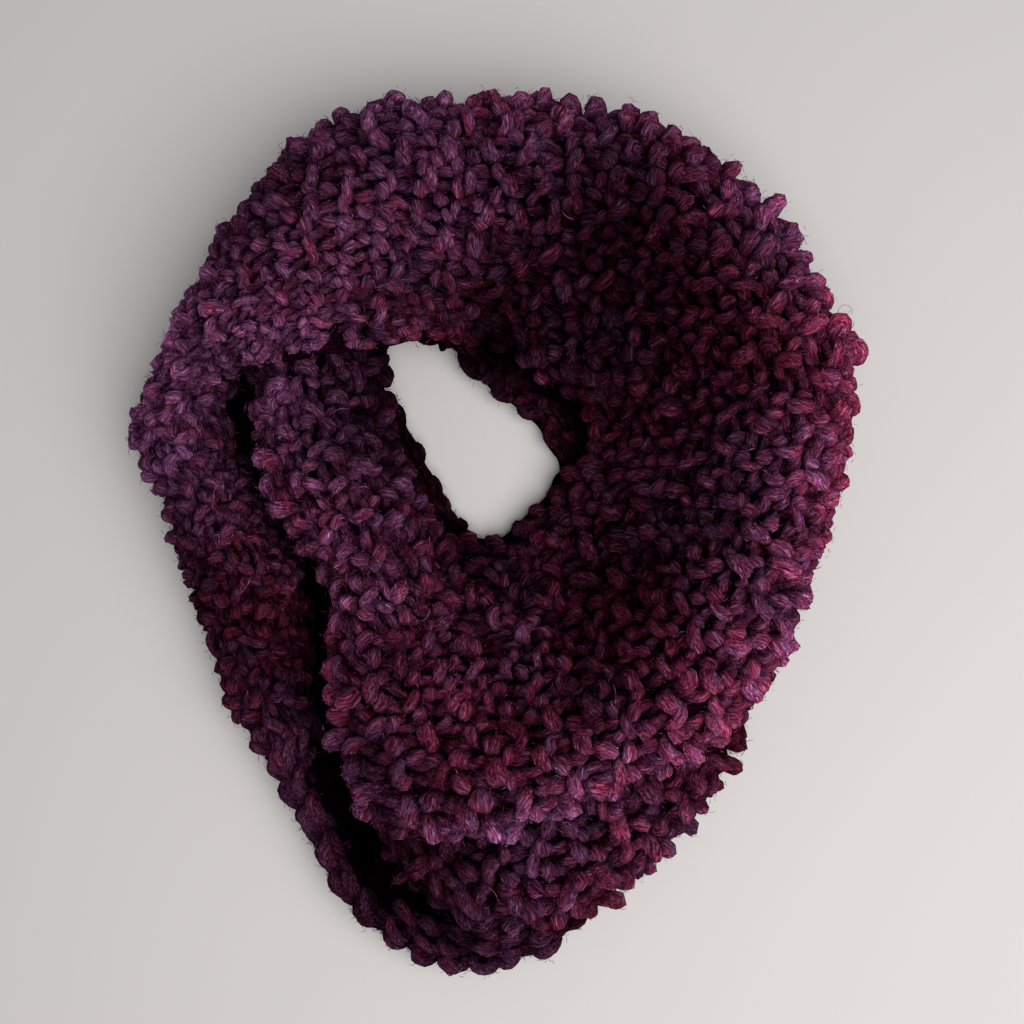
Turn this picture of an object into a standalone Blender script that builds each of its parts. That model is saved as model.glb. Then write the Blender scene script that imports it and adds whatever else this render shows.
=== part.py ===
"""A chunky knitted infinity scarf, wound twice and laid down in a ring.

One long band, about 200 mm wide and 12 mm thick, goes round twice. Its upper turn climbs from the left
over the start of itself, runs clockwise round the ring and slips back under itself at the upper left. Its
lower turn lies beneath: it shows as a second layer and a lowest rim in front, as the strip outside the left
crevice, and as a rolled selvedge round the hole. What no one sees of it is one rounded solid underneath.

Every stretch is a wall swept round the ring. A table gives its cross-section at several bearings, which
run clockwise from +Y, and go on past 360 degrees where the band does. A section is read from the hole
outwards: inner edge, crest, outermost point, and the edge that tucks under. The tables are in millimetres
and degrees.
"""

import math
from collections import namedtuple

import bmesh
import bpy
import numpy as np
from mathutils import Vector
from mathutils.bvhtree import BVHTree

MM = 0.001
CLOTH = 12.0  # thickness of the knitted wall
SEAM_GAP = 0.3  # between neighbouring stretches
LAYER_GAP = 1.0  # between a stretch and the hidden layers under it
RING_CENTRE = (-5.6, 49.6)  # where the tables' radii start
STEP_DEG = 6.0  # between two rings of a solid's mesh
WALL_POINTS = 11  # along one side of a wall's section
FOLD_SHARE = 1.6  # a wall is at most this many times as thick as its tightest fold is round
ARC_SAMPLES = 30  # on each of the three arcs of a section, before its points are spaced evenly
QUARTER_TURN = 90.0
SHARP_DEG = 50.0  # an edge between faces that turn by more than this is shaded sharp

SECTION_COLUMNS = "bearing inner_r inner_z dome crest_r crest_z outer_r outer_z tuck_r tuck_z"
Section = namedtuple("Section", SECTION_COLUMNS)
Roll = namedtuple("Roll", "bearing inner_r outer_r height")
Reach = namedtuple("Reach", "bearing inner_r outer_r")
Crease = namedtuple("Crease", "bearing_a radius_a bearing_b radius_b width depth")
Stretch = namedtuple("Stretch", "name table first last colour")
RolledEdge = namedtuple("RolledEdge", "name table colour")

# The main stretch: lowest rim and outer strip on the left, over the crossing, round the back, right and
# front, and up the left of the hole to where it slips under the crossing. dome is 1 where the inner slope
# rounds over like a bolster and 0 where it sags before it climbs.
MAIN = [
    Section(168, 222, 5, 0.2, 239, 12, 245, 9, 239, 5),
    Section(174, 232, 6, 0.3, 250, 16, 257, 11, 250, 6),
    Section(178, 236, 6, 0.4, 253, 20, 261, 13, 253, 6),
    Section(183, 238, 6, 0.5, 252, 21, 261, 13, 252, 6),
    Section(190, 230, 6, 0.5, 244, 22, 252, 13, 243, 6),
    Section(195, 214, 6, 0.6, 229, 22, 238, 13, 229, 6),
    Section(200, 196, 6, 0.6, 212, 23, 223, 14, 213, 6),
    Section(210, 162, 6, 0.7, 185, 26, 198, 15, 187, 6),
    Section(220, 130, 6, 0.7, 164, 31, 184, 18, 171, 6),
    Section(230, 117, 6, 0.8, 148, 37, 171, 20, 158, 6),
    Section(240, 113, 6, 0.9, 139, 41, 161, 21, 148, 6),
    Section(250, 117, 6, 0.9, 140, 44, 159, 22, 147, 6),
    Section(260, 122, 6, 0.9, 142, 46, 156, 23, 144, 6),
    Section(270, 126, 6, 0.9, 147, 49, 165, 24, 150, 6),
    Section(277, 128, 8, 0.9, 148, 53, 165, 27, 150, 6),
    Section(283, 129, 14, 0.9, 145, 58, 158, 33, 146, 14),
    Section(287, 125, 30, 0.7, 141, 62, 155, 39, 143, 26),
    Section(291, 111, 47, 0.6, 137, 65, 153, 43, 142, 32),
    Section(295, 97, 51, 0.5, 134, 66, 152, 45, 141, 34),
    Section(300, 85, 52, 0.5, 131, 67, 151, 46, 141, 35),
    Section(310, 69, 50, 0.45, 133, 68, 156, 46, 146, 35),
    Section(330, 58, 41, 0.35, 138, 68, 163, 46, 152, 35),
    Section(345, 53, 32, 0.3, 138, 67, 162, 46, 151, 35),
    Section(360, 49, 27, 0.25, 138, 66, 161, 46, 150, 35),
    Section(375, 49, 24, 0.2, 142, 66, 167, 46, 156, 35),
    Section(400, 44, 23, 0.1, 148, 66, 176, 46, 164, 35),
    Section(420, 51, 22, 0.1, 150, 67, 179, 46, 167, 35),
    Section(435, 57, 21, 0.1, 152, 67, 178, 46, 166, 35),
    Section(450, 59, 18, 0.1, 150, 67, 176, 46, 164, 35),
    Section(460, 54, 15, 0.1, 147, 66, 172, 46, 161, 35),
    Section(470, 44, 10, 0.1, 146, 65, 169, 46, 158, 35),
    Section(485, 44, 7, 0.15, 152, 63, 177, 47, 166, 37),
    Section(500, 46, 7, 0.25, 156, 61, 180, 49, 169, 40),
    Section(515, 49, 7, 0.3, 159, 61, 178, 52, 168, 45),
    Section(530, 54, 7, 0.4, 164, 62, 181, 55, 171, 48),
    Section(540, 53, 7, 0.45, 168, 62, 185, 55, 175, 48),
    Section(550, 52, 9, 0.5, 170, 62, 187, 55, 177, 48),
    Section(556, 52, 13, 0.5, 164, 62, 182, 55, 172, 48),
    Section(561, 52, 16, 0.55, 150, 62, 167, 54, 157, 47),
    Section(566, 51, 17, 0.6, 134, 62, 152, 53, 142, 46),
    Section(571, 49, 17, 0.65, 119, 61, 138, 52, 128, 44),
    Section(576, 47, 17, 0.7, 103, 60, 123, 49, 113, 38),
    Section(582, 45, 17, 0.8, 84, 59, 103, 42, 93, 30),
    Section(590, 44, 17, 0.85, 74, 58, 98, 35, 88, 18),
    Section(600, 43, 17, 0.9, 70, 57, 96, 31, 86, 12),
    Section(610, 44, 17, 0.9, 73, 56, 100, 30, 90, 11),
    Section(620, 46, 17, 0.9, 77, 54, 105, 29, 95, 11),
    Section(630, 47, 17, 0.9, 80, 52, 108, 28, 98, 10),
    Section(640, 49, 16, 0.9, 83, 47, 112, 26, 102, 10),
    Section(650, 53, 15, 0.8, 86, 39, 113, 23, 104, 8),
    Section(660, 59, 14, 0.8, 88, 34, 112, 20, 104, 8),
    Section(667, 64, 13, 0.8, 90, 31, 110, 19, 103, 7),
]

# The lower turn outside the ring: a low rounded side at the back and the right, which widens in front into
# the second layer and ends under the front band's left corner.
LOWER = [
    Section(293, 125, 16, 0.0, 140, 20, 152, 13, 142, 6),
    Section(300, 125, 17, 0.0, 141, 21, 152, 13, 142, 6),
    Section(330, 128, 17, 0.0, 149, 21, 160, 13, 150, 6),
    Section(360, 126, 17, 0.0, 147, 21, 158, 13, 148, 6),
    Section(390, 138, 17, 0.0, 160, 21, 171, 13, 161, 6),
    Section(420, 143, 17, 0.0, 165, 21, 176, 13, 166, 6),
    Section(450, 139, 17, 0.0, 160, 21, 171, 13, 161, 6),
    Section(475, 138, 17, 0.0, 159, 21, 170, 13, 160, 6),
    Section(490, 146, 17, 0.0, 169, 23, 184, 14, 173, 6),
    Section(500, 151, 18, 0.1, 180, 26, 199, 17, 188, 8),
    Section(510, 157, 20, 0.1, 196, 30, 216, 20, 205, 10),
    Section(520, 160, 22, 0.1, 208, 33, 229, 24, 218, 15),
    Section(528, 165, 24, 0.1, 218, 35, 239, 27, 228, 20),
    Section(535, 165, 26, 0.1, 220, 35, 240, 28, 230, 21),
    Section(541, 165, 26, 0.1, 217, 35, 238, 28, 227, 21),
    Section(546, 165, 26, 0.1, 209, 35, 229, 28, 219, 21),
    Section(550, 160, 26, 0.1, 199, 35, 218, 28, 208, 21),
    Section(553, 156, 26, 0.1, 188, 35, 203, 28, 194, 21),
    Section(556, 152, 26, 0.1, 174, 34, 188, 28, 179, 21),
]

# The rolled selvedge of the lower turn, on the floor round the hole, in two stretches.
ROLL_RIGHT = [
    Roll(330, 58, 80, 15),
    Roll(338, 54, 80, 18),
    Roll(345, 46, 74, 19),
    Roll(351, 37, 64, 19),
    Roll(360, 29, 58, 18),
    Roll(373, 23, 52, 17),
    Roll(388, 22, 48, 15),
    Roll(404, 22, 47, 14),
    Roll(421, 24, 50, 14),
    Roll(438, 28, 55, 13),
    Roll(452, 31, 57, 10),
    Roll(462, 37, 54, 8),
]
ROLL_LEFT = [
    Roll(192, 42, 50, 7),
    Roll(197, 39, 51, 9),
    Roll(206, 33, 54, 12),
    Roll(214, 30, 54, 14),
    Roll(226, 28, 54, 14),
    Roll(238, 27, 53, 14),
    Roll(250, 28, 54, 14),
    Roll(262, 29, 56, 14),
    Roll(272, 32, 59, 14),
    Roll(281, 37, 62, 13),
    Roll(290, 42, 65, 12),
    Roll(294, 46, 67, 10),
]

# The largest folds, as soft troughs along a line from one place to another, cut into the main stretch.
CREASES = [
    Crease(575, 118, 560, 102, 16, 9),
    Crease(560, 102, 541, 96, 18, 6),
    Crease(470, 96, 510, 100, 30, 6),
]

# Where the main stretch is divided into pieces of cloth, by bearing.
STRETCHES = [
    Stretch("lower_turn_left", MAIN, 168, 283, (0.23, 0.035, 0.075)),
    Stretch("upper_turn_back", MAIN, 283, 400, (0.27, 0.045, 0.085)),
    Stretch("upper_turn_right", MAIN, 400, 490, (0.30, 0.035, 0.065)),
    Stretch("upper_turn_front", MAIN, 490, 579, (0.29, 0.040, 0.070)),
    Stretch("upper_turn_inner_left", MAIN, 579, 667, (0.25, 0.035, 0.070)),
    Stretch("lower_turn_side", LOWER, 293, 482, (0.19, 0.025, 0.050)),
    Stretch("lower_turn_front", LOWER, 482, 556, (0.22, 0.030, 0.055)),
]
ROLLS = [
    RolledEdge("hole_selvedge_right", ROLL_RIGHT, (0.16, 0.020, 0.040)),
    RolledEdge("hole_selvedge_left", ROLL_LEFT, (0.16, 0.020, 0.045)),
]
ROLL_POINTS = 9  # over the top of a roll's section
ROLL_SQUARENESS = 2.4  # exponent of its rounded top: 2 is an ellipse
ROLL_WAIST = 0.3  # share of its height at which it is widest
ROLL_FOOT = 0.8  # its underside's width, as a share of its own

# The plan of the hidden layers. Their height is what room the cloth over them leaves.
REACH = [
    Reach(0, 62, 143),
    Reach(15, 58, 148),
    Reach(30, 53, 156),
    Reach(45, 51, 158),
    Reach(60, 54, 160),
    Reach(75, 60, 157),
    Reach(90, 63, 155),
    Reach(105, 58, 153),
    Reach(120, 65, 156),
    Reach(130, 66, 164),
    Reach(140, 67, 178),
    Reach(150, 68, 195),
    Reach(160, 67, 208),
    Reach(168, 66, 212),
    Reach(175, 66, 214),
    Reach(181, 64, 217),
    Reach(186, 62, 211),
    Reach(190, 60, 200),
    Reach(194, 59, 184),
    Reach(198, 58, 170),
    Reach(203, 58, 165),
    Reach(208, 58, 178),
    Reach(213, 58, 178),
    Reach(220, 58, 164),
    Reach(230, 58, 150),
    Reach(240, 58, 142),
    Reach(260, 59, 139),
    Reach(270, 63, 143),
    Reach(280, 66, 143),
    Reach(287, 70, 140),
    Reach(293, 72, 136),
    Reach(305, 72, 137),
    Reach(320, 78, 142),
    Reach(330, 83, 144),
    Reach(340, 83, 144),
    Reach(347, 78, 143),
    Reach(353, 68, 143),
]
CORE_POINTS = 12  # across its top
CORE_PROBES = 5  # rays from one of its points to the next, each way
CORE_BRIDGE = 4.0  # its height where it shows at the bottom of a crevice
CORE_LEAST = 2.0  # its least height
CORE_EDGE = 0.6  # share of the room that it fills at its edges, where it rounds off
CORE_COVER = 0.9  # share of the probes that must find cloth above, or it shows from above
CORE_FOOT = 0.5  # its underside stands back by this much at both edges
ROLL_SEAT = 0.8  # between it and a rolled edge that it carries on into
UNDER_FLOOR = 10.0  # where the probes start
CORE_COLOUR = (0.12, 0.015, 0.030)


def clear_scene():
    for item in list(bpy.data.objects):
        bpy.data.objects.remove(item, do_unlink=True)


def wool(name, colour):
    """A matt, slightly fuzzy knitting wool of that colour."""
    material = bpy.data.materials.new(name)
    material.use_nodes = True
    shader = material.node_tree.nodes["Principled BSDF"]
    shader.inputs["Base Color"].default_value = (*colour, 1.0)
    shader.inputs["Roughness"].default_value = 0.9
    shader.inputs["Metallic"].default_value = 0.0
    shader.inputs["Sheen Weight"].default_value = 0.4
    material.diffuse_color = (*colour, 1.0)
    return material


def smooth_row(table, bearing):
    """The table's columns at a bearing, on a smooth curve through its rows."""
    rows = np.array(table, float)
    knots = rows[:, 0]
    at = float(np.clip(bearing, knots[0], knots[-1]))
    i = int(np.clip(np.searchsorted(knots, at) - 1, 0, len(knots) - 2))
    slopes = np.gradient(rows, knots, axis=0)
    span = knots[i + 1] - knots[i]
    t = (at - knots[i]) / span
    start, end = (2 * t**3 - 3 * t**2 + 1), (3 * t**2 - 2 * t**3)
    leave, arrive = (t**3 - 2 * t**2 + t) * span, (t**3 - t**2) * span
    values = start * rows[i] + end * rows[i + 1] + leave * slopes[i] + arrive * slopes[i + 1]
    return type(table[0])(*values)


def place(bearing, radius, height):
    """A point of the ring, in millimetres."""
    angle = math.radians(bearing)
    return np.array([
        RING_CENTRE[0] + radius * math.sin(angle),
        RING_CENTRE[1] + radius * math.cos(angle),
        height,
    ])


def crease_depth(bearing, radius):
    """How far the largest folds lower the cloth at a place of the main stretch."""
    here = place(bearing, radius, 0.0)[:2]
    lowered = 0.0
    for fold in CREASES:
        if abs(bearing - (fold.bearing_a + fold.bearing_b) / 2) > QUARTER_TURN:
            continue  # the other turn of the band passes here
        a = place(fold.bearing_a, fold.radius_a, 0.0)[:2]
        b = place(fold.bearing_b, fold.radius_b, 0.0)[:2]
        along = float(np.clip((here - a) @ (b - a) / ((b - a) @ (b - a)), 0.0, 1.0))
        away = np.linalg.norm(here - a - along * (b - a))
        lowered = max(lowered, fold.depth * math.exp(-((2.0 * away / fold.width) ** 2)))
    return lowered


def middle_line(row, count, creased):
    """Evenly spaced points (radius, height) along the middle of the cloth, from inner to tucked edge."""
    t = np.linspace(0.0, 1.0, ARC_SAMPLES)
    quarter = t * math.pi / 2
    run = (1 - row.dome) * t + row.dome * (1 - np.cos(quarter))
    rise = (1 - row.dome) * t**2 * (3 - 2 * t) + row.dome * np.sin(quarter)
    slope = np.column_stack([
        row.inner_r + (row.crest_r - row.inner_r) * run,
        row.inner_z + (row.crest_z - row.inner_z) * rise,
    ])
    shoulder = np.column_stack([
        row.crest_r + (row.outer_r - row.crest_r) * np.sin(quarter),
        row.outer_z + (row.crest_z - row.outer_z) * np.cos(quarter),
    ])
    tuck = np.column_stack([
        row.tuck_r + (row.outer_r - row.tuck_r) * np.cos(quarter),
        row.outer_z - (row.outer_z - row.tuck_z) * np.sin(quarter),
    ])
    line = np.vstack([slope, shoulder[1:], tuck[1:]])
    if creased:
        line[:, 1] -= [crease_depth(row.bearing, radius) for radius in line[:, 0]]
    length = np.concatenate([[0.0], np.cumsum(np.linalg.norm(np.diff(line, axis=0), axis=1))])
    wanted = np.linspace(0.0, length[-1], count)
    return np.column_stack([np.interp(wanted, length, line[:, k]) for k in (0, 1)])


def wall_thickness(row):
    tightest = min(
        row.crest_z - row.outer_z,
        row.outer_z - row.tuck_z,
        row.outer_r - row.crest_r,
        row.outer_r - row.tuck_r,
    )
    return min(CLOTH, FOLD_SHARE * tightest)


def wall_section(row, creased):
    """The closed outline (radius, height) of the cloth at one bearing: out along its top, back below."""
    middle = middle_line(row, WALL_POINTS, creased)
    along = np.gradient(middle, axis=0)
    along /= np.linalg.norm(along, axis=1)[:, None]
    normal = np.column_stack([-along[:, 1], along[:, 0]])
    half = wall_thickness(row) / 2
    upper, lower = middle + half * normal, middle - half * normal
    outline = np.vstack([upper, lower[::-1]])
    outline[:, 1] = np.maximum(outline[:, 1], 0.0)
    return outline


def roll_section(row):
    """The closed outline of a rolled edge that lies flat on the floor."""
    angles = np.linspace(math.pi, 0.0, ROLL_POINTS)
    power = 2 / ROLL_SQUARENESS
    across = np.sign(np.cos(angles)) * np.abs(np.cos(angles)) ** power
    up = np.abs(np.sin(angles)) ** power
    middle, half = (row.inner_r + row.outer_r) / 2, (row.outer_r - row.inner_r) / 2
    top = np.column_stack([middle + half * across, row.height * (ROLL_WAIST + (1 - ROLL_WAIST) * up)])
    base = np.array([[middle + ROLL_FOOT * half, 0.0], [middle - ROLL_FOOT * half, 0.0]])
    return np.vstack([top, base])


def sweep(name, outlines, bearings, colour, closed=False):
    """A solid through section outlines, each at its own bearing, capped at both ends unless it closes on
    itself. Both ends stand back by half the seam gap."""
    mesh = bmesh.new()
    rings = []
    for index, (outline, bearing) in enumerate(zip(outlines, bearings)):
        angle = math.radians(bearing)
        back = 0.0
        if not closed and index == 0:
            back = SEAM_GAP / 2
        if not closed and index == len(outlines) - 1:
            back = -SEAM_GAP / 2
        shift = np.array([back * math.cos(angle), -back * math.sin(angle), 0.0])
        rings.append([mesh.verts.new((place(bearing, r, z) + shift) * MM) for r, z in outline])
    pairs = list(zip(rings, rings[1:]))
    if closed:
        pairs.append((rings[-1], rings[0]))
    for ring, following in pairs:
        for k in range(len(ring)):
            after = (k + 1) % len(ring)
            mesh.faces.new((ring[k], following[k], following[after], ring[after]))
    if not closed:
        mesh.faces.new(rings[0])
        mesh.faces.new(rings[-1][::-1])
    bmesh.ops.recalc_face_normals(mesh, faces=mesh.faces)
    bmesh.ops.triangulate(mesh, faces=mesh.faces)
    data = bpy.data.meshes.new(name)
    mesh.to_mesh(data)
    mesh.free()
    data.shade_smooth()
    data.set_sharp_from_angle(angle=math.radians(SHARP_DEG))
    data.materials.append(wool(name + "_wool", colour))
    item = bpy.data.objects.new(name, data)
    bpy.context.scene.collection.objects.link(item)
    return item


def steps(first, last, step):
    return np.linspace(first, last, max(2, round((last - first) / step) + 1))


def make_stretch(cloth):
    bearings = steps(cloth.first, cloth.last, STEP_DEG)
    outlines = [wall_section(smooth_row(cloth.table, b), cloth.table is MAIN) for b in bearings]
    return sweep(cloth.name, outlines, bearings, cloth.colour)


def make_roll(edge):
    bearings = steps(edge.table[0].bearing, edge.table[-1].bearing, STEP_DEG)
    outlines = [roll_section(smooth_row(edge.table, b)) for b in bearings]
    return sweep(edge.name, outlines, bearings, edge.colour)


def room_over_floor(trees, bearing, radius):
    """The height of the lowest cloth above a place on the floor, or None where the sky shows."""
    start = Vector(place(bearing, radius, -UNDER_FLOOR) * MM)
    found = []
    for tree in trees:
        hit = tree.ray_cast(start, Vector((0, 0, 1)))[0]
        if hit is not None:
            found.append(hit.z / MM)
    return min(found) if found else None


def core_outline(bearing):
    """The inner and outer radius of the hidden layers, which start at the rolled edges where there is one."""
    rows = np.array(REACH, float)
    inner, outer = [float(np.interp(bearing, rows[:, 0], rows[:, k], period=360.0)) for k in (1, 2)]
    for edge in ROLLS:
        for turned in (bearing, bearing + 360.0):
            if edge.table[0].bearing <= turned <= edge.table[-1].bearing:
                inner = smooth_row(edge.table, turned).outer_r + ROLL_SEAT
    return inner, outer


def core_section(trees, bearing):
    """The outline of the hidden layers at one bearing, lower than all the cloth near each of its points."""
    inner, outer = core_outline(bearing)
    radii = np.linspace(inner, outer, CORE_POINTS)
    reach = (outer - inner) / (CORE_POINTS - 1)
    offsets = np.linspace(-1.0, 1.0, CORE_PROBES)
    heights = []
    for radius in radii:
        room = CORE_BRIDGE + LAYER_GAP
        found = []
        for turn in offsets * STEP_DEG:
            for step in offsets * reach:
                if inner <= radius + step <= outer:
                    found.append(room_over_floor(trees, bearing + turn, radius + step))
        covered = [height for height in found if height is not None]
        if len(covered) > CORE_COVER * len(found):
            room = min(covered)
        elif covered:
            room = min(room, min(covered))
        heights.append(max(room - LAYER_GAP, CORE_LEAST))
    heights[0] *= CORE_EDGE
    heights[-1] *= CORE_EDGE
    top = np.column_stack([radii, heights])
    base = np.array([[outer - CORE_FOOT, 0.0], [inner + CORE_FOOT, 0.0]])
    return np.vstack([top, base])


def make_core(cloth):
    """The layers that no one sees, as one ring with a flat underside."""
    trees = []
    for item in cloth:
        points = [v.co for v in item.data.vertices]
        trees.append(BVHTree.FromPolygons(points, [tuple(p.vertices) for p in item.data.polygons]))
    bearings = np.arange(0.0, 360.0, STEP_DEG)
    sections = [core_section(trees, b) for b in bearings]
    return sweep("hidden_layers", sections, bearings, CORE_COLOUR, closed=True)


def main():
    clear_scene()
    for edge in ROLLS:
        make_roll(edge)
    make_core([make_stretch(stretch) for stretch in STRETCHES])


main()
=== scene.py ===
"""The looks of a chunky knitted infinity scarf, wound twice and laid down in a ring.

The band is knitted here stitch by stitch, in seed stitch: each stretch of it is one thick woollen yarn that
runs back and forth across the band, as a chain of loops. Every loop is laid on the middle surface of the
cloth, which comes from the same cross-sections as the solids in the frame. Raised strands and loose fibres
make the wool's nap, and a thin dark shell between the loops closes the knit, coloured as painted shade.

Lengths are in millimetres until a mesh is made. Bearings are in degrees, clockwise from +Y, and go on past
360 where the band does.
"""

import math
from collections import namedtuple

import bmesh
import bpy
import numpy as np
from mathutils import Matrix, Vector


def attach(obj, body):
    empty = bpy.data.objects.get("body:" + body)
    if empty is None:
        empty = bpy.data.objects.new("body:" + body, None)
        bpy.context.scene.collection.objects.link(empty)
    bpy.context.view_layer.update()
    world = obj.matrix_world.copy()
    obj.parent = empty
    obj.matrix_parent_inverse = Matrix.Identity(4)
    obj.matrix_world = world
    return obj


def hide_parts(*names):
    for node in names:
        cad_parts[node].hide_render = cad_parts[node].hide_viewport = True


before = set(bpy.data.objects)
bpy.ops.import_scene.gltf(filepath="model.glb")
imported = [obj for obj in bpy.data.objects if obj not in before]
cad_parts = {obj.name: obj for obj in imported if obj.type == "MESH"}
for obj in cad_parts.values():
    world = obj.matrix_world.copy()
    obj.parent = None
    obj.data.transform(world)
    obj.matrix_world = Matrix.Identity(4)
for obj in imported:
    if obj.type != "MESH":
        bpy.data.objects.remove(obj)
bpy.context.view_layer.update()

MM = 0.001

# ---- small tools


def named(kind, rows):
    """The rows of a table, with the names of its columns."""
    return [kind(*row) for row in rows]


def read_off(table, at):
    """Values between the rows of a table of two columns."""
    return np.interp(at, *np.transpose(table))


def unit(vectors):
    return vectors / np.linalg.norm(vectors, axis=-1)[..., None]


def distances(points):
    """How far each point of a line is along it."""
    return np.concatenate([[0.0], np.cumsum(np.linalg.norm(np.diff(points, axis=0), axis=1))])


def blend(grid, down, over):
    """Values between the places of a grid. They go on straight past its first and last column."""
    down = np.clip(down, 0, len(grid) - 1.001)
    i = down.astype(int)
    j = np.clip(over.astype(int), 0, grid.shape[1] - 2)
    u, v = (down - i)[..., None], (over - j)[..., None]
    near = grid[i, j] * (1 - v) + grid[i, j + 1] * v
    far = grid[i + 1, j] * (1 - v) + grid[i + 1, j + 1] * v
    return near * (1 - u) + far * u


def soft_noise(seed, size, waves=7):
    """A smooth function of places, of about unit strength, with lumps of that size."""
    rng = np.random.default_rng(seed)
    ways = rng.normal(size=(waves, 3))
    ways *= 2 * math.pi / size * rng.uniform(0.6, 1.5, waves)[:, None] / np.linalg.norm(ways, axis=1)[:, None]
    starts = rng.uniform(0, 2 * math.pi, waves)

    def value(points):
        return np.sin(points @ ways.T + starts).sum(axis=-1) * math.sqrt(2 / waves)

    return value


# ---- the solids' cross-sections, as in the frame

RING_CENTRE = (-5.6, 49.6)  # where the tables' radii start
ARC_SAMPLES = 30  # on each of the three arcs of a section, before its points are spaced evenly
QUARTER_TURN = 90.0
ROLL_SQUARENESS = 2.4  # exponent of a rolled edge's rounded top: 2 is an ellipse
ROLL_WAIST = 0.3  # share of its height at which it is widest

Section = namedtuple("Section", "bearing inner_r inner_z dome crest_r crest_z outer_r outer_z tuck_r tuck_z")
Roll = namedtuple("Roll", "bearing inner_r outer_r height")
Crease = namedtuple("Crease", "bearing_a radius_a bearing_b radius_b width depth")

MAIN = named(Section, [
    (168, 222, 5, 0.2, 239, 12, 245, 9, 239, 5),
    (174, 232, 6, 0.3, 250, 16, 257, 11, 250, 6),
    (178, 236, 6, 0.4, 253, 20, 261, 13, 253, 6),
    (183, 238, 6, 0.5, 252, 21, 261, 13, 252, 6),
    (190, 230, 6, 0.5, 244, 22, 252, 13, 243, 6),
    (195, 214, 6, 0.6, 229, 22, 238, 13, 229, 6),
    (200, 196, 6, 0.6, 212, 23, 223, 14, 213, 6),
    (210, 162, 6, 0.7, 185, 26, 198, 15, 187, 6),
    (220, 130, 6, 0.7, 164, 31, 184, 18, 171, 6),
    (230, 117, 6, 0.8, 148, 37, 171, 20, 158, 6),
    (240, 113, 6, 0.9, 139, 41, 161, 21, 148, 6),
    (250, 117, 6, 0.9, 140, 44, 159, 22, 147, 6),
    (260, 122, 6, 0.9, 142, 46, 156, 23, 144, 6),
    (270, 126, 6, 0.9, 147, 49, 165, 24, 150, 6),
    (277, 128, 8, 0.9, 148, 53, 165, 27, 150, 6),
    (283, 129, 14, 0.9, 145, 58, 158, 33, 146, 14),
    (287, 125, 30, 0.7, 141, 62, 155, 39, 143, 26),
    (291, 111, 47, 0.6, 137, 65, 153, 43, 142, 32),
    (295, 97, 51, 0.5, 134, 66, 152, 45, 141, 34),
    (300, 85, 52, 0.5, 131, 67, 151, 46, 141, 35),
    (310, 69, 50, 0.45, 133, 68, 156, 46, 146, 35),
    (330, 58, 41, 0.35, 138, 68, 163, 46, 152, 35),
    (345, 53, 32, 0.3, 138, 67, 162, 46, 151, 35),
    (360, 49, 27, 0.25, 138, 66, 161, 46, 150, 35),
    (375, 49, 24, 0.2, 142, 66, 167, 46, 156, 35),
    (400, 44, 23, 0.1, 148, 66, 176, 46, 164, 35),
    (420, 51, 22, 0.1, 150, 67, 179, 46, 167, 35),
    (435, 57, 21, 0.1, 152, 67, 178, 46, 166, 35),
    (450, 59, 18, 0.1, 150, 67, 176, 46, 164, 35),
    (460, 54, 15, 0.1, 147, 66, 172, 46, 161, 35),
    (470, 44, 10, 0.1, 146, 65, 169, 46, 158, 35),
    (485, 44, 7, 0.15, 152, 63, 177, 47, 166, 37),
    (500, 46, 7, 0.25, 156, 61, 180, 49, 169, 40),
    (515, 49, 7, 0.3, 159, 61, 178, 52, 168, 45),
    (530, 54, 7, 0.4, 164, 62, 181, 55, 171, 48),
    (540, 53, 7, 0.45, 168, 62, 185, 55, 175, 48),
    (550, 52, 9, 0.5, 170, 62, 187, 55, 177, 48),
    (556, 52, 13, 0.5, 164, 62, 182, 55, 172, 48),
    (561, 52, 16, 0.55, 150, 62, 167, 54, 157, 47),
    (566, 51, 17, 0.6, 134, 62, 152, 53, 142, 46),
    (571, 49, 17, 0.65, 119, 61, 138, 52, 128, 44),
    (576, 47, 17, 0.7, 103, 60, 123, 49, 113, 38),
    (582, 45, 17, 0.8, 84, 59, 103, 42, 93, 30),
    (590, 44, 17, 0.85, 74, 58, 98, 35, 88, 18),
    (600, 43, 17, 0.9, 70, 57, 96, 31, 86, 12),
    (610, 44, 17, 0.9, 73, 56, 100, 30, 90, 11),
    (620, 46, 17, 0.9, 77, 54, 105, 29, 95, 11),
    (630, 47, 17, 0.9, 80, 52, 108, 28, 98, 10),
    (640, 49, 16, 0.9, 83, 47, 112, 26, 102, 10),
    (650, 53, 15, 0.8, 86, 39, 113, 23, 104, 8),
    (660, 59, 14, 0.8, 88, 34, 112, 20, 104, 8),
    (667, 64, 13, 0.8, 90, 31, 110, 19, 103, 7),
    (680, 70, 12, 0.8, 92, 28, 108, 18, 102, 7),
])
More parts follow.
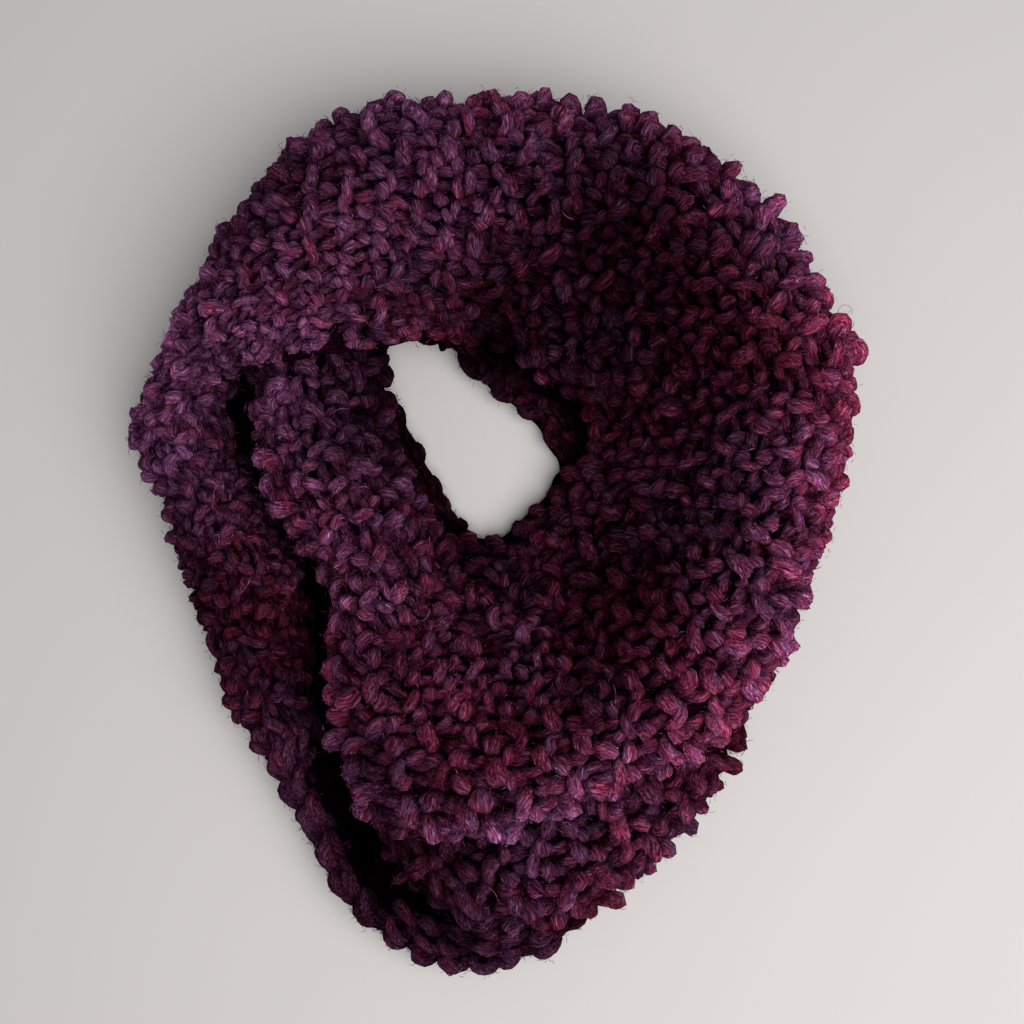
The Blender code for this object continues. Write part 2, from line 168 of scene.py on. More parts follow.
LOWER = named(Section, [
    (293, 125, 16, 0.0, 140, 20, 152, 13, 142, 6),
    (300, 125, 17, 0.0, 141, 21, 152, 13, 142, 6),
    (330, 128, 17, 0.0, 149, 21, 160, 13, 150, 6),
    (360, 126, 17, 0.0, 147, 21, 158, 13, 148, 6),
    (390, 138, 17, 0.0, 160, 21, 171, 13, 161, 6),
    (420, 143, 17, 0.0, 165, 21, 176, 13, 166, 6),
    (450, 139, 17, 0.0, 160, 21, 171, 13, 161, 6),
    (475, 138, 17, 0.0, 159, 21, 170, 13, 160, 6),
    (490, 146, 17, 0.0, 169, 23, 184, 14, 173, 6),
    (500, 151, 18, 0.1, 180, 26, 199, 17, 188, 8),
    (510, 157, 20, 0.1, 196, 30, 216, 20, 205, 10),
    (520, 160, 22, 0.1, 208, 33, 229, 24, 218, 15),
    (528, 165, 24, 0.1, 218, 35, 239, 27, 228, 20),
    (535, 165, 26, 0.1, 220, 35, 240, 28, 230, 21),
    (541, 165, 26, 0.1, 217, 35, 238, 28, 227, 21),
    (546, 165, 26, 0.1, 209, 35, 229, 28, 219, 21),
    (550, 160, 26, 0.1, 199, 35, 218, 28, 208, 21),
    (553, 156, 26, 0.1, 188, 35, 203, 28, 194, 21),
    (556, 152, 26, 0.1, 174, 34, 188, 28, 179, 21),
])
ROLL_RIGHT = named(Roll, [
    (330, 58, 80, 15), (338, 54, 80, 18), (345, 46, 74, 19), (351, 37, 64, 19), (360, 29, 58, 18),
    (373, 23, 52, 17), (388, 22, 48, 15), (404, 22, 47, 14), (421, 24, 50, 14), (438, 28, 55, 13),
    (452, 31, 57, 10), (462, 37, 54, 8), (476, 42, 56, 7),
])
ROLL_LEFT = named(Roll, [
    (192, 42, 50, 7), (197, 39, 51, 9), (206, 33, 54, 12), (214, 30, 54, 14), (226, 28, 54, 14),
    (238, 27, 53, 14), (250, 28, 54, 14), (262, 29, 56, 14), (272, 32, 59, 14), (281, 37, 62, 13),
    (290, 42, 65, 12), (294, 46, 67, 10),
])
CREASES = named(Crease, [
    (575, 118, 560, 102, 16, 9), (560, 102, 541, 96, 18, 6), (470, 96, 510, 100, 30, 6),
])

# ---- what the knit adds to their shape

# Smaller folds of the main stretch, as troughs, or as ridges where the depth is negative.
FOLDS = named(Crease, [
    (436, 172, 430, 120, 15, -3.5), (430, 120, 420, 78, 18, -2.5), (316, 74, 331, 104, 20, 3.0),
    (345, 108, 372, 98, 26, 2.5), (392, 96, 412, 104, 26, -2.5), (447, 100, 468, 118, 26, 3.0),
    (491, 118, 516, 128, 24, -3.0), (520, 92, 541, 128, 22, 2.5), (596, 66, 622, 70, 14, -2.0),
    (604, 88, 632, 92, 12, 2.5), (207, 182, 226, 150, 14, 2.5), (243, 146, 266, 150, 14, -2.0),
])
SHIFTS = [  # bearing, and how far outside its table the main stretch's knit lies there
    (168, 4.5), (198, 4.5), (212, 0.0), (350, 0.0), (365, -3.5), (384, -3.5), (400, -1.0), (411, -4.5),
    (430, -4.5), (445, 0.0),
]
SHIFT_WIDTH = 40.0  # the shift fades away over this much cloth inside the crest
SEAM_BEARING, SEAM_RADIUS = 434, 174  # where the seam across the band comes to its edge and swells it
SEAM_WIDTH, SEAM_SWELL = 14, 3.0
LUMPS = soft_noise(11, 70)
DIMPLES = soft_noise(12, 32)
DIMPLE_SHARE = 0.5
MAIN_LUMP, LOWER_LUMP, ROLL_LUMP = 1.2, 0.8, 0.4  # how high the lumps of each cloth are
GRID_DEG = 1.25  # between two bearings of a cloth's own grid
GRID_ACROSS = 80

# ---- the yarn and its gauge

YARN = 4.05  # radius of the yarn where the knit is at its full gauge
ROW = 11.4  # from one row to the next, along the band
COLUMN = 18.0  # from one column of stitches to the next, at the full gauge
COLUMNS = [18, 18, 18, 17, 17, 16, 15, 14, 14, 13, 13]  # from the outer edge to the hole
LOWER_COLUMNS = [COLUMN] * 5
ROLL_COLUMNS = [12] * 3
ROLL_GAUGE = 11.0  # the rolled edges' rows have their full height this far outside their inner side
FITTED = (300, 545)  # the bearings between which the main stretch's columns fill its whole width
RELIEF = 4.1  # how far a loop goes to either side of the middle of the cloth
GATHERED = (0.55, 1.15)  # the least and the most share of its full size that the yarn has
SHORT_ROWS = (0.64, 0.38)  # gathered to less than these shares, only every second or fourth row goes on
LEAST_REACH = 3.0  # the narrowest that the stitches are pressed
EDGE_SLACK = 0.2 * ROW  # how far a column may lie past an edge and still be knitted
MAIN_GAUGE = [  # bearing, and the radius at which a row has its full height: nearer the hole it is gathered
    (168, 200), (190, 196), (200, 180), (210, 168), (220, 160), (230, 148), (250, 140), (283, 146),
    (300, 142), (400, 160), (500, 164), (530, 162), (550, 150), (565, 126), (582, 96), (600, 88), (640, 98),
    (667, 98),
]
MAIN_INSET = [  # bearing, and how far the outermost stitches stay from the cloth's inner edge
    (168, 3), (180, 14), (198, 19), (204, 22), (211, 14), (220, 8), (228, 6), (283, 4), (300, 1), (311, 2),
    (342, 2), (356, 1), (456, 1), (468, 5), (490, 5), (503, 1), (545, 1), (570, 5), (645, 5), (660, 1),
    (680, 1),
]
PLAIN_INSET = [(0, 3)]

# Up to a bearing, the lowest rim is so narrow that its stitches lie as one thick rope.
ROPE_UNTIL = 208.0
ROPE_FADE = 15.0  # degrees over which its columns take their full width again
ROPE_WIDTH, ROPE_SLANT, ROPE_RELIEF, ROPE_THICKNESS = 0.72, 1.2, 1.05, 1.24

Key = namedtuple("Key", "column row level")


def whole_loop(start, *half):
    """One loop of the yarn from its first half.

    It is in columns across, rows along, and how far it stands in front of the cloth. A last point of the half
    that is in the loop's middle is there once."""
    back = [(-column, row, level) for column, row, level in reversed(half) if column]
    return np.array([start, *half, *back])


PURL_LOOP = whole_loop(
    (-0.50, 0.00, -0.6), (-0.28, 0.00, -1.0), (-0.28, 0.62, 0.15), (-0.20, 1.15, -0.8), (-0.27, 1.50, 0.1),
    (-0.12, 1.62, 1.2),
)
KNIT_LOOP = whole_loop(
    (-0.50, 0.00, -0.4), (-0.37, -0.03, 1.0), (-0.25, 0.03, 0.95), (-0.13, 0.45, -1.0), (-0.25, 1.12, 0.45),
    (-0.14, 1.50, -0.9),
)
CHAIN_LOOP = whole_loop(
    (-0.50, 0.00, -1.0), (-0.12, -0.05, -0.8), (-0.20, 0.35, 0.7), (-0.33, 0.80, 1.1), (-0.26, 1.20, -0.3),
    (0.00, 1.30, -1.0),
)
CHAIN_THICKNESS = 0.82
TURN = named(Key, [  # the yarn, where it turns at an edge and goes back behind it
    (0.03, 0.12, 0.6), (0.10, 0.50, 0.9), (0.03, 0.88, 0.5), (-0.35, 1.00, -1.0),
])
TURN_THICKNESS = 1.1

# How uneven the loops are: the spread of each measure from loop to loop, and the limits of some.
LEAN, CALMER_LEAN = 0.55, 0.3  # in rows to a column, and the share of it in the chains and the rope
STAND, STAND_LIMITS = 0.2, (0.55, 1.4)  # how far a loop stands out
THICK, THICK_LIMITS = 0.09, (0.8, 1.25)  # how thick its yarn is
ROW_SHIFT, COLUMN_SHIFT, KEY_SHIFTS = 0.08, 0.05, (0.02, 0.04, 0.08)  # of a loop, and of each of its keys

# The yarn's surface.
YARN_SIDES = 8
STEPS_PER_KEY = 6  # of the yarn's smooth way, before its rings are chosen
HIDDEN_LEVEL = -0.5  # behind this level no one sees the yarn
RING_SPACING = ((0.95, 2.3, 0.945), (4.0, 9.0, 0.3))  # seen, and hidden: least, most, cosine of a bend
EVENED = 8  # steps to either side over which the yarn's thickness is evened out
PLY_TURN = 80.0  # the yarn makes one turn about itself in this length
PLY_FORM = np.array([0.70, 0.95, 1.08, 0.98, 0.72, 0.96, 1.08, 0.95])  # its two plies, round it
PUFF = [(-1.0, 0.56), (0.0, 0.86), (1.3, 1.12)]  # level, and how thick the yarn is there
SWELLS = [(23.0, 1.0, 0.06), (7.1, 2.3, 0.07)]  # thicker and thinner: length, share of the seed, strength
WANDER, WANDER_LENGTH = 0.08, 7.3  # of the surface in and out along each side
# Painted light and shade: the yarn's side that faces out of the cloth is painted lighter, and the groove
# between its plies darker.
FRONT_LEVEL, PLY_LEVEL = 0.55, 2.0  # how much further out the yarn's front and its plies are lit
SEED_RUN = 1000.0  # so that each stretch has its own streaks

# ---- the shape of the cloth


def smooth_row(table, bearing):
    """The table's columns at a bearing, on a smooth curve through its rows."""
    rows = np.array(table, float)
    knots = rows[:, 0]
    at = float(np.clip(bearing, knots[0], knots[-1]))
    i = int(np.clip(np.searchsorted(knots, at) - 1, 0, len(knots) - 2))
    slopes = np.gradient(rows, knots, axis=0)
    span = knots[i + 1] - knots[i]
    t = (at - knots[i]) / span
    start, end = (2 * t**3 - 3 * t**2 + 1), (3 * t**2 - 2 * t**3)
    leave, arrive = (t**3 - 2 * t**2 + t) * span, (t**3 - t**2) * span
    values = start * rows[i] + end * rows[i + 1] + leave * slopes[i] + arrive * slopes[i + 1]
    return type(table[0])(*values)


def place(bearing, radius, height):
    """Points of the ring, for numbers or arrays."""
    angle, radius, height = np.broadcast_arrays(np.radians(bearing), radius, height)
    x = RING_CENTRE[0] + radius * np.sin(angle)
    y = RING_CENTRE[1] + radius * np.cos(angle)
    return np.stack([x, y, height], axis=-1)


def fold_depth(folds, bearing, points):
    """How far folds lower the cloth at points of one section."""
    lowered = np.zeros(len(points))
    for fold in folds:
        if abs(bearing - (fold.bearing_a + fold.bearing_b) / 2) > QUARTER_TURN:
            continue  # the other turn of the band passes here
        a = place(fold.bearing_a, fold.radius_a, 0.0)[:2]
        b = place(fold.bearing_b, fold.radius_b, 0.0)[:2]
        along = np.clip((points[:, :2] - a) @ (b - a) / ((b - a) @ (b - a)), 0.0, 1.0)
        away = np.linalg.norm(points[:, :2] - a - along[:, None] * (b - a), axis=1)
        depth = fold.depth * np.exp(-((2.0 * away / fold.width) ** 2))
        lowered = np.where(np.abs(depth) > np.abs(lowered), depth, lowered)
    return lowered


def section_line(row):
    """Points (radius, height) along the middle of the cloth at one bearing, from inner to tucked edge."""
    t = np.linspace(0.0, 1.0, ARC_SAMPLES)
    quarter = t * math.pi / 2
    run = (1 - row.dome) * t + row.dome * (1 - np.cos(quarter))
    rise = (1 - row.dome) * t**2 * (3 - 2 * t) + row.dome * np.sin(quarter)
    slope = np.column_stack([
        row.inner_r + (row.crest_r - row.inner_r) * run,
        row.inner_z + (row.crest_z - row.inner_z) * rise,
    ])
    shoulder = np.column_stack([
        row.crest_r + (row.outer_r - row.crest_r) * np.sin(quarter),
        row.outer_z + (row.crest_z - row.outer_z) * np.cos(quarter),
    ])
    tuck = np.column_stack([
        row.tuck_r + (row.outer_r - row.tuck_r) * np.cos(quarter),
        row.outer_z - (row.outer_z - row.tuck_z) * np.sin(quarter),
    ])
    return np.vstack([slope, shoulder[1:], tuck[1:]])


def roll_line(row):
    """Points (radius, height) over a rolled edge, from the hole outwards, one yarn deep in it."""
    angles = np.linspace(math.pi, 0.0, 3 * ARC_SAMPLES)
    power = 2 / ROLL_SQUARENESS
    across = np.sign(np.cos(angles)) * np.abs(np.cos(angles)) ** power
    up = np.abs(np.sin(angles)) ** power
    middle = (row.inner_r + row.outer_r) / 2
    half = (row.outer_r - row.inner_r) / 2 - YARN
    height = max(row.height - YARN, YARN)
    risen = ROLL_WAIST + (1 - ROLL_WAIST) * up
    return np.column_stack([middle + half * across, YARN + (height - YARN) * risen])


def spaced(line, count):
    """The line again, as that many evenly spaced points."""
    length = distances(line)
    wanted = np.linspace(0.0, length[-1], count)
    return np.column_stack([np.interp(wanted, length, line[:, k]) for k in range(line.shape[1])])


class Cloth:
    """The middle surface of a stretch of cloth, as a grid of places and normals."""

    def __init__(self, table, lump):
        self.main, self.rolled = table is MAIN, isinstance(table[0], Roll)
        first, last = table[0].bearing, table[-1].bearing
        self.bearings = np.linspace(first, last, round((last - first) / GRID_DEG) + 1)
        lines = np.array([self.line(table, bearing) for bearing in self.bearings])
        self.points = place(self.bearings[:, None], lines[:, :, 0], lines[:, :, 1])
        self.lengths = np.linalg.norm(np.diff(lines, axis=1), axis=2).sum(axis=1)
        if self.main:
            for index, bearing in enumerate(self.bearings):
                self.points[index, :, 2] -= fold_depth(FOLDS, bearing, self.points[index])
        swell = lump * (LUMPS(self.points) + DIMPLE_SHARE * DIMPLES(self.points))
        if self.main:
            away = np.linalg.norm(self.points[:, :, :2] - place(SEAM_BEARING, SEAM_RADIUS, 0.0)[:2], axis=2)
            swell += SEAM_SWELL * np.exp(-((away / SEAM_WIDTH) ** 2))
        self.points += self.facing() * swell[:, :, None]
        self.normals = self.facing()

    def line(self, table, bearing):
        """Evenly spaced points (radius, height) along the cloth at one bearing."""
        row = smooth_row(table, bearing)
        line = roll_line(row) if self.rolled else section_line(row)
        if self.main:
            line[:, 1] -= fold_depth(CREASES, bearing, place(bearing, line[:, 0], 0.0))
            fade = (row.crest_r - SHIFT_WIDTH, row.crest_r)
            line[:, 0] += read_off(SHIFTS, bearing) * np.interp(line[:, 0], fade, (0, 1))
        return spaced(line, GRID_ACROSS)

    def facing(self):
        return unit(np.cross(np.gradient(self.points, axis=0), np.gradient(self.points, axis=1)))

    def length_at(self, bearing):
        return np.interp(bearing, self.bearings, self.lengths)

    def at(self, share, bearing, lift):
        """Places at a share of the way across, from the inner edge, lifted off the middle of the cloth."""
        down = (np.asarray(bearing) - self.bearings[0]) / (self.bearings[1] - self.bearings[0])
        over = np.asarray(share) * (GRID_ACROSS - 1)
        normal = unit(blend(self.normals, down, over))
        return blend(self.points, down, over) + np.asarray(lift)[..., None] * normal, normal


MAIN_CLOTH = Cloth(MAIN, MAIN_LUMP)
LOWER_CLOTH = Cloth(LOWER, LOWER_LUMP)

# ---- the knit on it


def loop_rows(gather):
    """Near the hole the band is gathered, and only every second or fourth row reaches as far as that."""
    return np.where(gather < SHORT_ROWS[1], 4, np.where(gather < SHORT_ROWS[0], 2, 1))


class Knit:
    """The grid of stitches on a cloth: columns from its tucked edge to its inner one, rows along it.

    Fitted are the bearings between which the columns fill the cloth's whole width."""

    def __init__(self, cloth, columns, gauge, row, fitted=None, chained=(), inset=PLAIN_INSET, rope_until=0):
        self.cloth, self.columns, self.gauge, self.row = cloth, columns, gauge, row
        self.fitted, self.chained, self.inset, self.rope_until = fitted, chained, inset, rope_until
        reach = read_off(gauge, cloth.bearings)
        step = np.diff(cloth.bearings) * math.pi / 180 * (reach[1:] + reach[:-1]) / 2
        run = np.concatenate([[0.0], np.cumsum(step)])
        self.last_row = run[-1] / row
        self.row_bearings = np.interp(np.arange(int(self.last_row)) * row, run, cloth.bearings)
        self.edges = np.cumsum([-columns[0], columns[0], *columns, columns[-1]])
        self.edge_units = np.arange(len(self.edges)) - 1.5

    def reach(self, bearing):
        """How much of the cloth's width the stitches may take."""
        return np.maximum(self.cloth.length_at(bearing) - read_off(self.inset, bearing), LEAST_REACH)

    def widen(self, bearing):
        if self.fitted is None:
            return np.ones(np.shape(bearing))
        pressed = np.interp(bearing, (self.rope_until, self.rope_until + ROPE_FADE), (ROPE_WIDTH, 1.0))
        return pressed * self.reach(np.clip(bearing, *self.fitted)) / self.edges[-2]

    def from_tuck(self, column, bearing):
        """Millimetres of cloth from the tucked edge to a place counted in columns."""
        run = np.interp(column, self.edge_units, self.edges) * self.widen(bearing)
        if self.fitted is None:
            return run
        full = self.reach(np.clip(bearing, *self.fitted))
        return run + np.where(bearing > self.fitted[1], self.reach(bearing) - full, 0.0)

    def share(self, column, bearing):
        return 1 - self.from_tuck(column, bearing) / self.cloth.length_at(bearing)

    def gather(self, bearing, points):
        """How much narrower a row is at points than where it has its full height."""
        radius = np.hypot(points[:, 0] - RING_CENTRE[0], points[:, 1] - RING_CENTRE[1])
        return radius / read_off(self.gauge, bearing)

    def rows_to_loop(self, columns, bearing):
        """How many rows high the loops are at columns of a row."""
        columns = np.atleast_1d(columns)
        bearing = np.full(len(columns), bearing)
        points, _ = self.cloth.at(self.share(columns, bearing), bearing, np.zeros(len(columns)))
        return loop_rows(self.gather(bearing, points))

    def bearing_of(self, row):
        """Rows are counted from the start of the cloth."""
        rows = np.append(np.arange(len(self.row_bearings)), self.last_row)
        return np.interp(row, rows, np.append(self.row_bearings, self.cloth.bearings[-1]))

    def columns_in(self, row):
        """The columns that are on the cloth at a row."""
        bearing = self.row_bearings[row]
        every = np.arange(len(self.columns))
        low, high = self.from_tuck(every - 0.5, bearing), self.from_tuck(every + 0.5, bearing)
        kept = (low > -EDGE_SLACK) & (high < self.reach(bearing) + EDGE_SLACK)
        kept &= row % self.rows_to_loop(every, bearing) == 0
        return [int(k) for k in every[kept]]


def loop_keys(knit, column, row, rng):
    """The keys of one loop, with how much thicker than usual its yarn is as a fourth value."""
    tall = int(knit.rows_to_loop(column, knit.row_bearings[row])[0])
    slant = rng.normal(0.0, LEAN)
    usual = 1.0
    if column in knit.chained:
        keys = CHAIN_LOOP.copy()
        slant *= CALMER_LEAN
        usual = CHAIN_THICKNESS
    elif knit.row_bearings[row] < knit.rope_until:
        keys = PURL_LOOP.copy()
        keys[:, 2] *= ROPE_RELIEF
        slant = ROPE_SLANT + CALMER_LEAN * slant
        usual = ROPE_THICKNESS
    else:
        keys = (PURL_LOOP if (column + row // tall) % 2 == 0 else KNIT_LOOP).copy()
    keys[:, 1] += slant * keys[:, 0]
    keys[:, 1] *= tall
    keys[:, 2] *= np.clip(rng.normal(1.0, STAND), *STAND_LIMITS)
    keys[:, 1] += rng.normal(0, ROW_SHIFT)
    keys[:, 0] += rng.normal(0, COLUMN_SHIFT)
    keys += rng.normal(0, KEY_SHIFTS, keys.shape)
    thick = np.full((len(keys), 1), usual * np.clip(rng.normal(1.0, THICK), *THICK_LIMITS))
    return np.hstack([keys + (column, row, 0), thick])


def yarn_keys(knit, first, last, rng):
    """The yarn's way, as keys, through the rows that start between two bearings."""
    ways = []
    for row, bearing in enumerate(knit.row_bearings):
        columns = knit.columns_in(row)
        if not first <= bearing < last or not columns:
            continue
        keys = [loop_keys(knit, column, row, rng) for column in columns]
        keys.append([[columns[-1] + 0.5, row, 0.0, 1.0]])
        way = np.vstack(keys)
        out = 1 if row % 2 == 0 else -1
        turn = TURN[-1:] if bearing < knit.rope_until else TURN
        way = way[::out]
        back = [[way[-1, 0] + out * key.column, row + key.row, key.level, TURN_THICKNESS] for key in turn]
        ways.append(np.vstack([way, back]))
    return np.vstack(ways)


def smooth_way(keys, per_key):
    """Points on a Catmull-Rom curve through the keys."""
    before, after = np.roll(keys, 1, axis=0), np.roll(keys, -1, axis=0)
    beyond = np.roll(keys, -2, axis=0)
    before[0], after[-1], beyond[-1], beyond[-2] = keys[0], keys[-1], keys[-1], keys[-1]
    steps = []
    for t in np.arange(per_key) / per_key:
        bend = (2 * before - 5 * keys + 4 * after - beyond) * t**2
        bend += (3 * keys - before - 3 * after + beyond) * t**3
        steps.append(keys + 0.5 * ((after - before) * t + bend))
    return np.stack(steps, axis=1).reshape(-1, keys.shape[1])[: -(per_key - 1)]


Strand = namedtuple("Strand", "centres sides ups radii run levels fronts heights")


def ring_places(centres, level):
    """Which points of the yarn's way get a ring: more where it bends, fewer where no one sees it."""
    run = distances(centres)
    tangents = unit(np.gradient(centres, axis=0))
    kept = [0]
    for k in range(1, len(run)):
        least, most, straight = RING_SPACING[0 if level[k] > HIDDEN_LEVEL else 1]
        far = run[k] - run[kept[-1]]
        if far >= most or (far >= least and tangents[k] @ tangents[kept[-1]] < straight):
            kept.append(k)
    return np.array(kept)


def lay_yarn(knit, first, last, seed):
    """The yarn of one stretch: its centre line, radii and the frame that its surface is made on."""
    rng = np.random.default_rng(seed)
    way = smooth_way(yarn_keys(knit, first, last, rng), STEPS_PER_KEY)
    column, row, level, thick = way.T
    bearing = knit.bearing_of(row)
    share = knit.share(column, bearing)
    base, _ = knit.cloth.at(share, bearing, np.zeros(len(way)))
    gather = knit.gather(bearing, base)
    high = knit.row / ROW * gather * loop_rows(gather)
    wide = np.interp(column, np.arange(len(knit.columns)), knit.columns) * knit.widen(bearing) / COLUMN
    gathered = np.clip(np.sqrt(high * wide), *GATHERED)
    evened = np.ones(2 * EVENED + 1) / (2 * EVENED + 1)
    gathered = np.convolve(np.pad(gathered, EVENED, mode="edge"), evened, "valid")
    centres, fronts = knit.cloth.at(share, bearing, level * RELIEF * gathered)
    kept = ring_places(centres, level)
    centres, fronts, base, level, thick, gathered = (
        values[kept] for values in (centres, fronts, base, level, thick, gathered)
    )
    tangents = unit(np.gradient(centres, axis=0))
    run = distances(centres)
    slow = sum(strength * np.sin(run / length + turn * seed) for length, turn, strength in SWELLS)
    radii = YARN * gathered * thick * (read_off(PUFF, level) + slow)
    sides = np.zeros_like(centres)
    sides[0] = unit(np.cross(tangents[0], fronts[0]))
    for k in range(1, len(centres)):
        side = sides[k - 1] - tangents[k] * (sides[k - 1] @ tangents[k])
        sides[k] = side / math.sqrt(side @ side)
    ups = np.cross(tangents, sides)
    return Strand(centres, sides, ups, radii, run, level, fronts, base[:, 2])


# ---- painted light and shade, and how purple the wool is

MAP_STEP = 4.0  # of the map of how high the scarf stands
MAP_HALF = 260.0
MAP_BLURS = (17.0, 7.0)  # how far around a place the two maps look
# Painted light and shade: how light wool on the floor is, and how much more with each millimetre that it lies
# higher, and higher than the scarf around it. From the radii of the open side on, outward-facing cloth is
# painted light too.
OPEN_ON_FLOOR, OPEN_PER_MM, OPEN_ABOVE = 0.27, 0.0105, 0.010
OPEN_SIDE = (130.0, 145.0)
LEAST_LIGHT, SIDE_LIGHT, MOST_LIGHT = 0.17, 0.5, 1.6
CONTRAST = 1.5  # exponent of the light
LIGHT_SCALE = 2.0  # the attribute holds the light as a share of this
# Painted shade: wool that lies deeper in the knit is painted darker.
DEEPEST_LEVEL, LEVEL_SPAN = -1.0, 2.6  # of the wool, from the darkest to the lightest
COOL, COOL_TO_LEFT = 0.42, 430.0  # how purple the middle is, and how far left of it all is purple
WARMEST_Y, COOL_OFF_IT = -60.0, 700.0  # it is least purple in front of the hole
TONE, TONE_SHARE = soft_noise(22, 26), 0.11
COOLNESS, COOLNESS_SHARE = soft_noise(21, 90), 0.16
HUES, HUES_SHARE = soft_noise(23, 15), 0.22

# Where the photo's cloth is lighter or darker than the height at which it lies accounts for.
# Painted light and shade: each spot paints the wool lighter or darker, and some more or less purple, around a
# place.
Spot = namedtuple("Spot", "x y reach light cool", defaults=[0.0])
SPOTS = named(Spot, [
    # the upper turn over the back: a dark outer rim at the left, then bright, and dark to the right
    (-108, 166, 28, 0.48), (-125, 148, 20, 0.6), (-75, 190, 24, 0.6), (-80, 140, 45, 1.2, -0.05),
    (-52, 135, 22, 1.35), (-11, 146, 22, 1.8), (0, 172, 45, 0.85, 0.06), (9, 121, 35, 0.53, -0.36),
    (57, 153, 30, 0.38), (92, 167, 50, 0.57, 0.03), (125, 165, 26, 1.9), (98, 112, 30, 0.68),
    (60, 126, 26, 0.7), (160, 90, 20, 1.3), (-95, 92, 20, 2.2), (-75, 93, 14, 1.4),
    # its slope down to the hole, and its right side
    (78, 86, 45, 0.36), (65, 72, 18, 1.7), (84, 44, 20, 1.3), (122, 60, 30, 0.55), (147, 41, 42, 1.6, 0.3),
    (112, 14, 22, 0.5), (134, 24, 16, 1.4), (106, -43, 40, 1.2, 0.5), (75, -20, 32, 0.3),
    (57, -62, 24, 0.45), (108, -82, 32, 1.75), (137, -47, 16, 1.35),
    # the front
    (31, -3, 22, 1.7), (28, -71, 20, 0.65), (10, -50, 24, 1.4), (-22, -78, 26, 1.45),
    (5, -90, 36, 0.68, -0.55), (-44, -24, 30, 1.45), (-56, -54, 24, 0.6), (-64, -108, 26, 0.45),
    (-80, -94, 12, 0.5), (-52, -142, 16, 0.65), (12, -130, 34, 1.75, 0.6), (-5, -122, 18, 0.6),
    # the second layer and the lowest rim
    (74, -135, 34, 2.3), (22, -178, 32, 1.3, 0.25), (40, -166, 16, 1.5), (-20, -165, 34, 0.75),
    (-18, -192, 20, 0.7), (-60, -178, 32, 0.5, -0.25),
    # the left: a dark outer rim, the strip and the end of the upper turn
    (-150, 46, 40, 2.2, 0.2), (-148, 25, 25, 0.55), (-142, -22, 22, 0.5), (-122, 10, 26, 1.55),
    (-100, -24, 14, 2.0), (-100, -52, 18, 1.45), (-98, -95, 14, 1.8), (-120, -44, 40, 0.69, -0.62),
    (-99, 58, 18, 1.8), (-83, 44, 30, 0.64, 0.2), (-76, 23, 20, 1.8), (-52, 52, 22, 0.5),
    # the rolled edges round the hole
    (18, 78, 14, 1.5, -0.2), (31, 52, 14, 1.7, -0.2), (-38, 30, 14, 0.8), (3, 94, 15, 0.2),
    (38, 70, 16, 0.55),
])


def height_map(blur):
    """How high the scarf stands round each place of its plan, on a grid."""
    count = int(2 * MAP_HALF / MAP_STEP) + 1
    heights = np.zeros((count, count))
    for cloth in (MAIN_CLOTH, LOWER_CLOTH):
        cells = np.round((cloth.points[:, :, :2] + MAP_HALF) / MAP_STEP).astype(int)
        np.maximum.at(heights, (cells[..., 0], cells[..., 1]), cloth.points[:, :, 2])
    steps = int(3 * blur / MAP_STEP)
    reach = np.arange(-steps, steps + 1) * MAP_STEP
    kernel = np.exp(-0.5 * (reach / blur) ** 2)
    kernel /= kernel.sum()
    for axis in (0, 1):
        heights = np.apply_along_axis(np.convolve, axis, heights, kernel, "same")
    return heights[..., None]


MAPS = [height_map(blur) for blur in MAP_BLURS]


def on_open_side(points, fronts):
    """How far places are on the ring's open outer side, from 0 to 1: such cloth is painted lighter."""
    away = points[:, :2] - RING_CENTRE
    radius = np.linalg.norm(away, axis=1)
    outwards = (away * fronts[:, :2]).sum(axis=1) / radius
    return np.clip(outwards, 0, 1) * np.interp(radius, OPEN_SIDE, (0.0, 1.0))


def shade_of(points, levels, heights, fronts):
    """The attribute that the wool's colour depends on: how raised it is, how purple, and how light, where
    raised and light are painted light and shade.

    Levels are how far in front of the cloth the wool is, heights are of the cloth's middle, and fronts are
    its normals. One of each may stand for several points that follow one another."""
    levels, heights, fronts = (
        np.repeat(values, len(points) // len(values), axis=0) for values in (levels, heights, fronts)
    )
    raised = np.clip((levels - DEEPEST_LEVEL) / LEVEL_SPAN, 0, 1)
    cool = COOL - points[:, 0] / COOL_TO_LEFT + np.abs(points[:, 1] - WARMEST_Y) / COOL_OFF_IT
    cool = cool + COOLNESS_SHARE * COOLNESS(points) + HUES_SHARE * HUES(points)
    # Painted shade in the hollows and painted light on what stands high.
    openness = OPEN_ON_FLOOR + OPEN_PER_MM * heights
    for grid in MAPS:
        cells = np.clip((points[:, :2] + MAP_HALF) / MAP_STEP, 0, len(grid) - 1.001)
        openness = openness + OPEN_ABOVE * (heights - blend(grid, *cells.T)[:, 0])
    least = LEAST_LIGHT + SIDE_LIGHT * on_open_side(points, fronts)
    light = np.clip(openness, least, MOST_LIGHT) ** CONTRAST * (1 + TONE_SHARE * TONE(points))
    for spot in SPOTS:
        away = np.hypot(points[:, 0] - spot.x, points[:, 1] - spot.y) / spot.reach
        light *= spot.light ** np.exp(-(away**2))
        cool = cool + spot.cool * np.exp(-(away**2))
    return np.column_stack([raised, np.clip(cool, 0, 1), np.clip(light / LIGHT_SCALE, 0, 1)])


# ---- pieces from points

FLOOR_CLEAR = 0.3  # the lowest that wool reaches above the floor


def new_object(name, data):
    made = bpy.data.objects.new(name, data)
    bpy.context.scene.collection.objects.link(made)
    return made


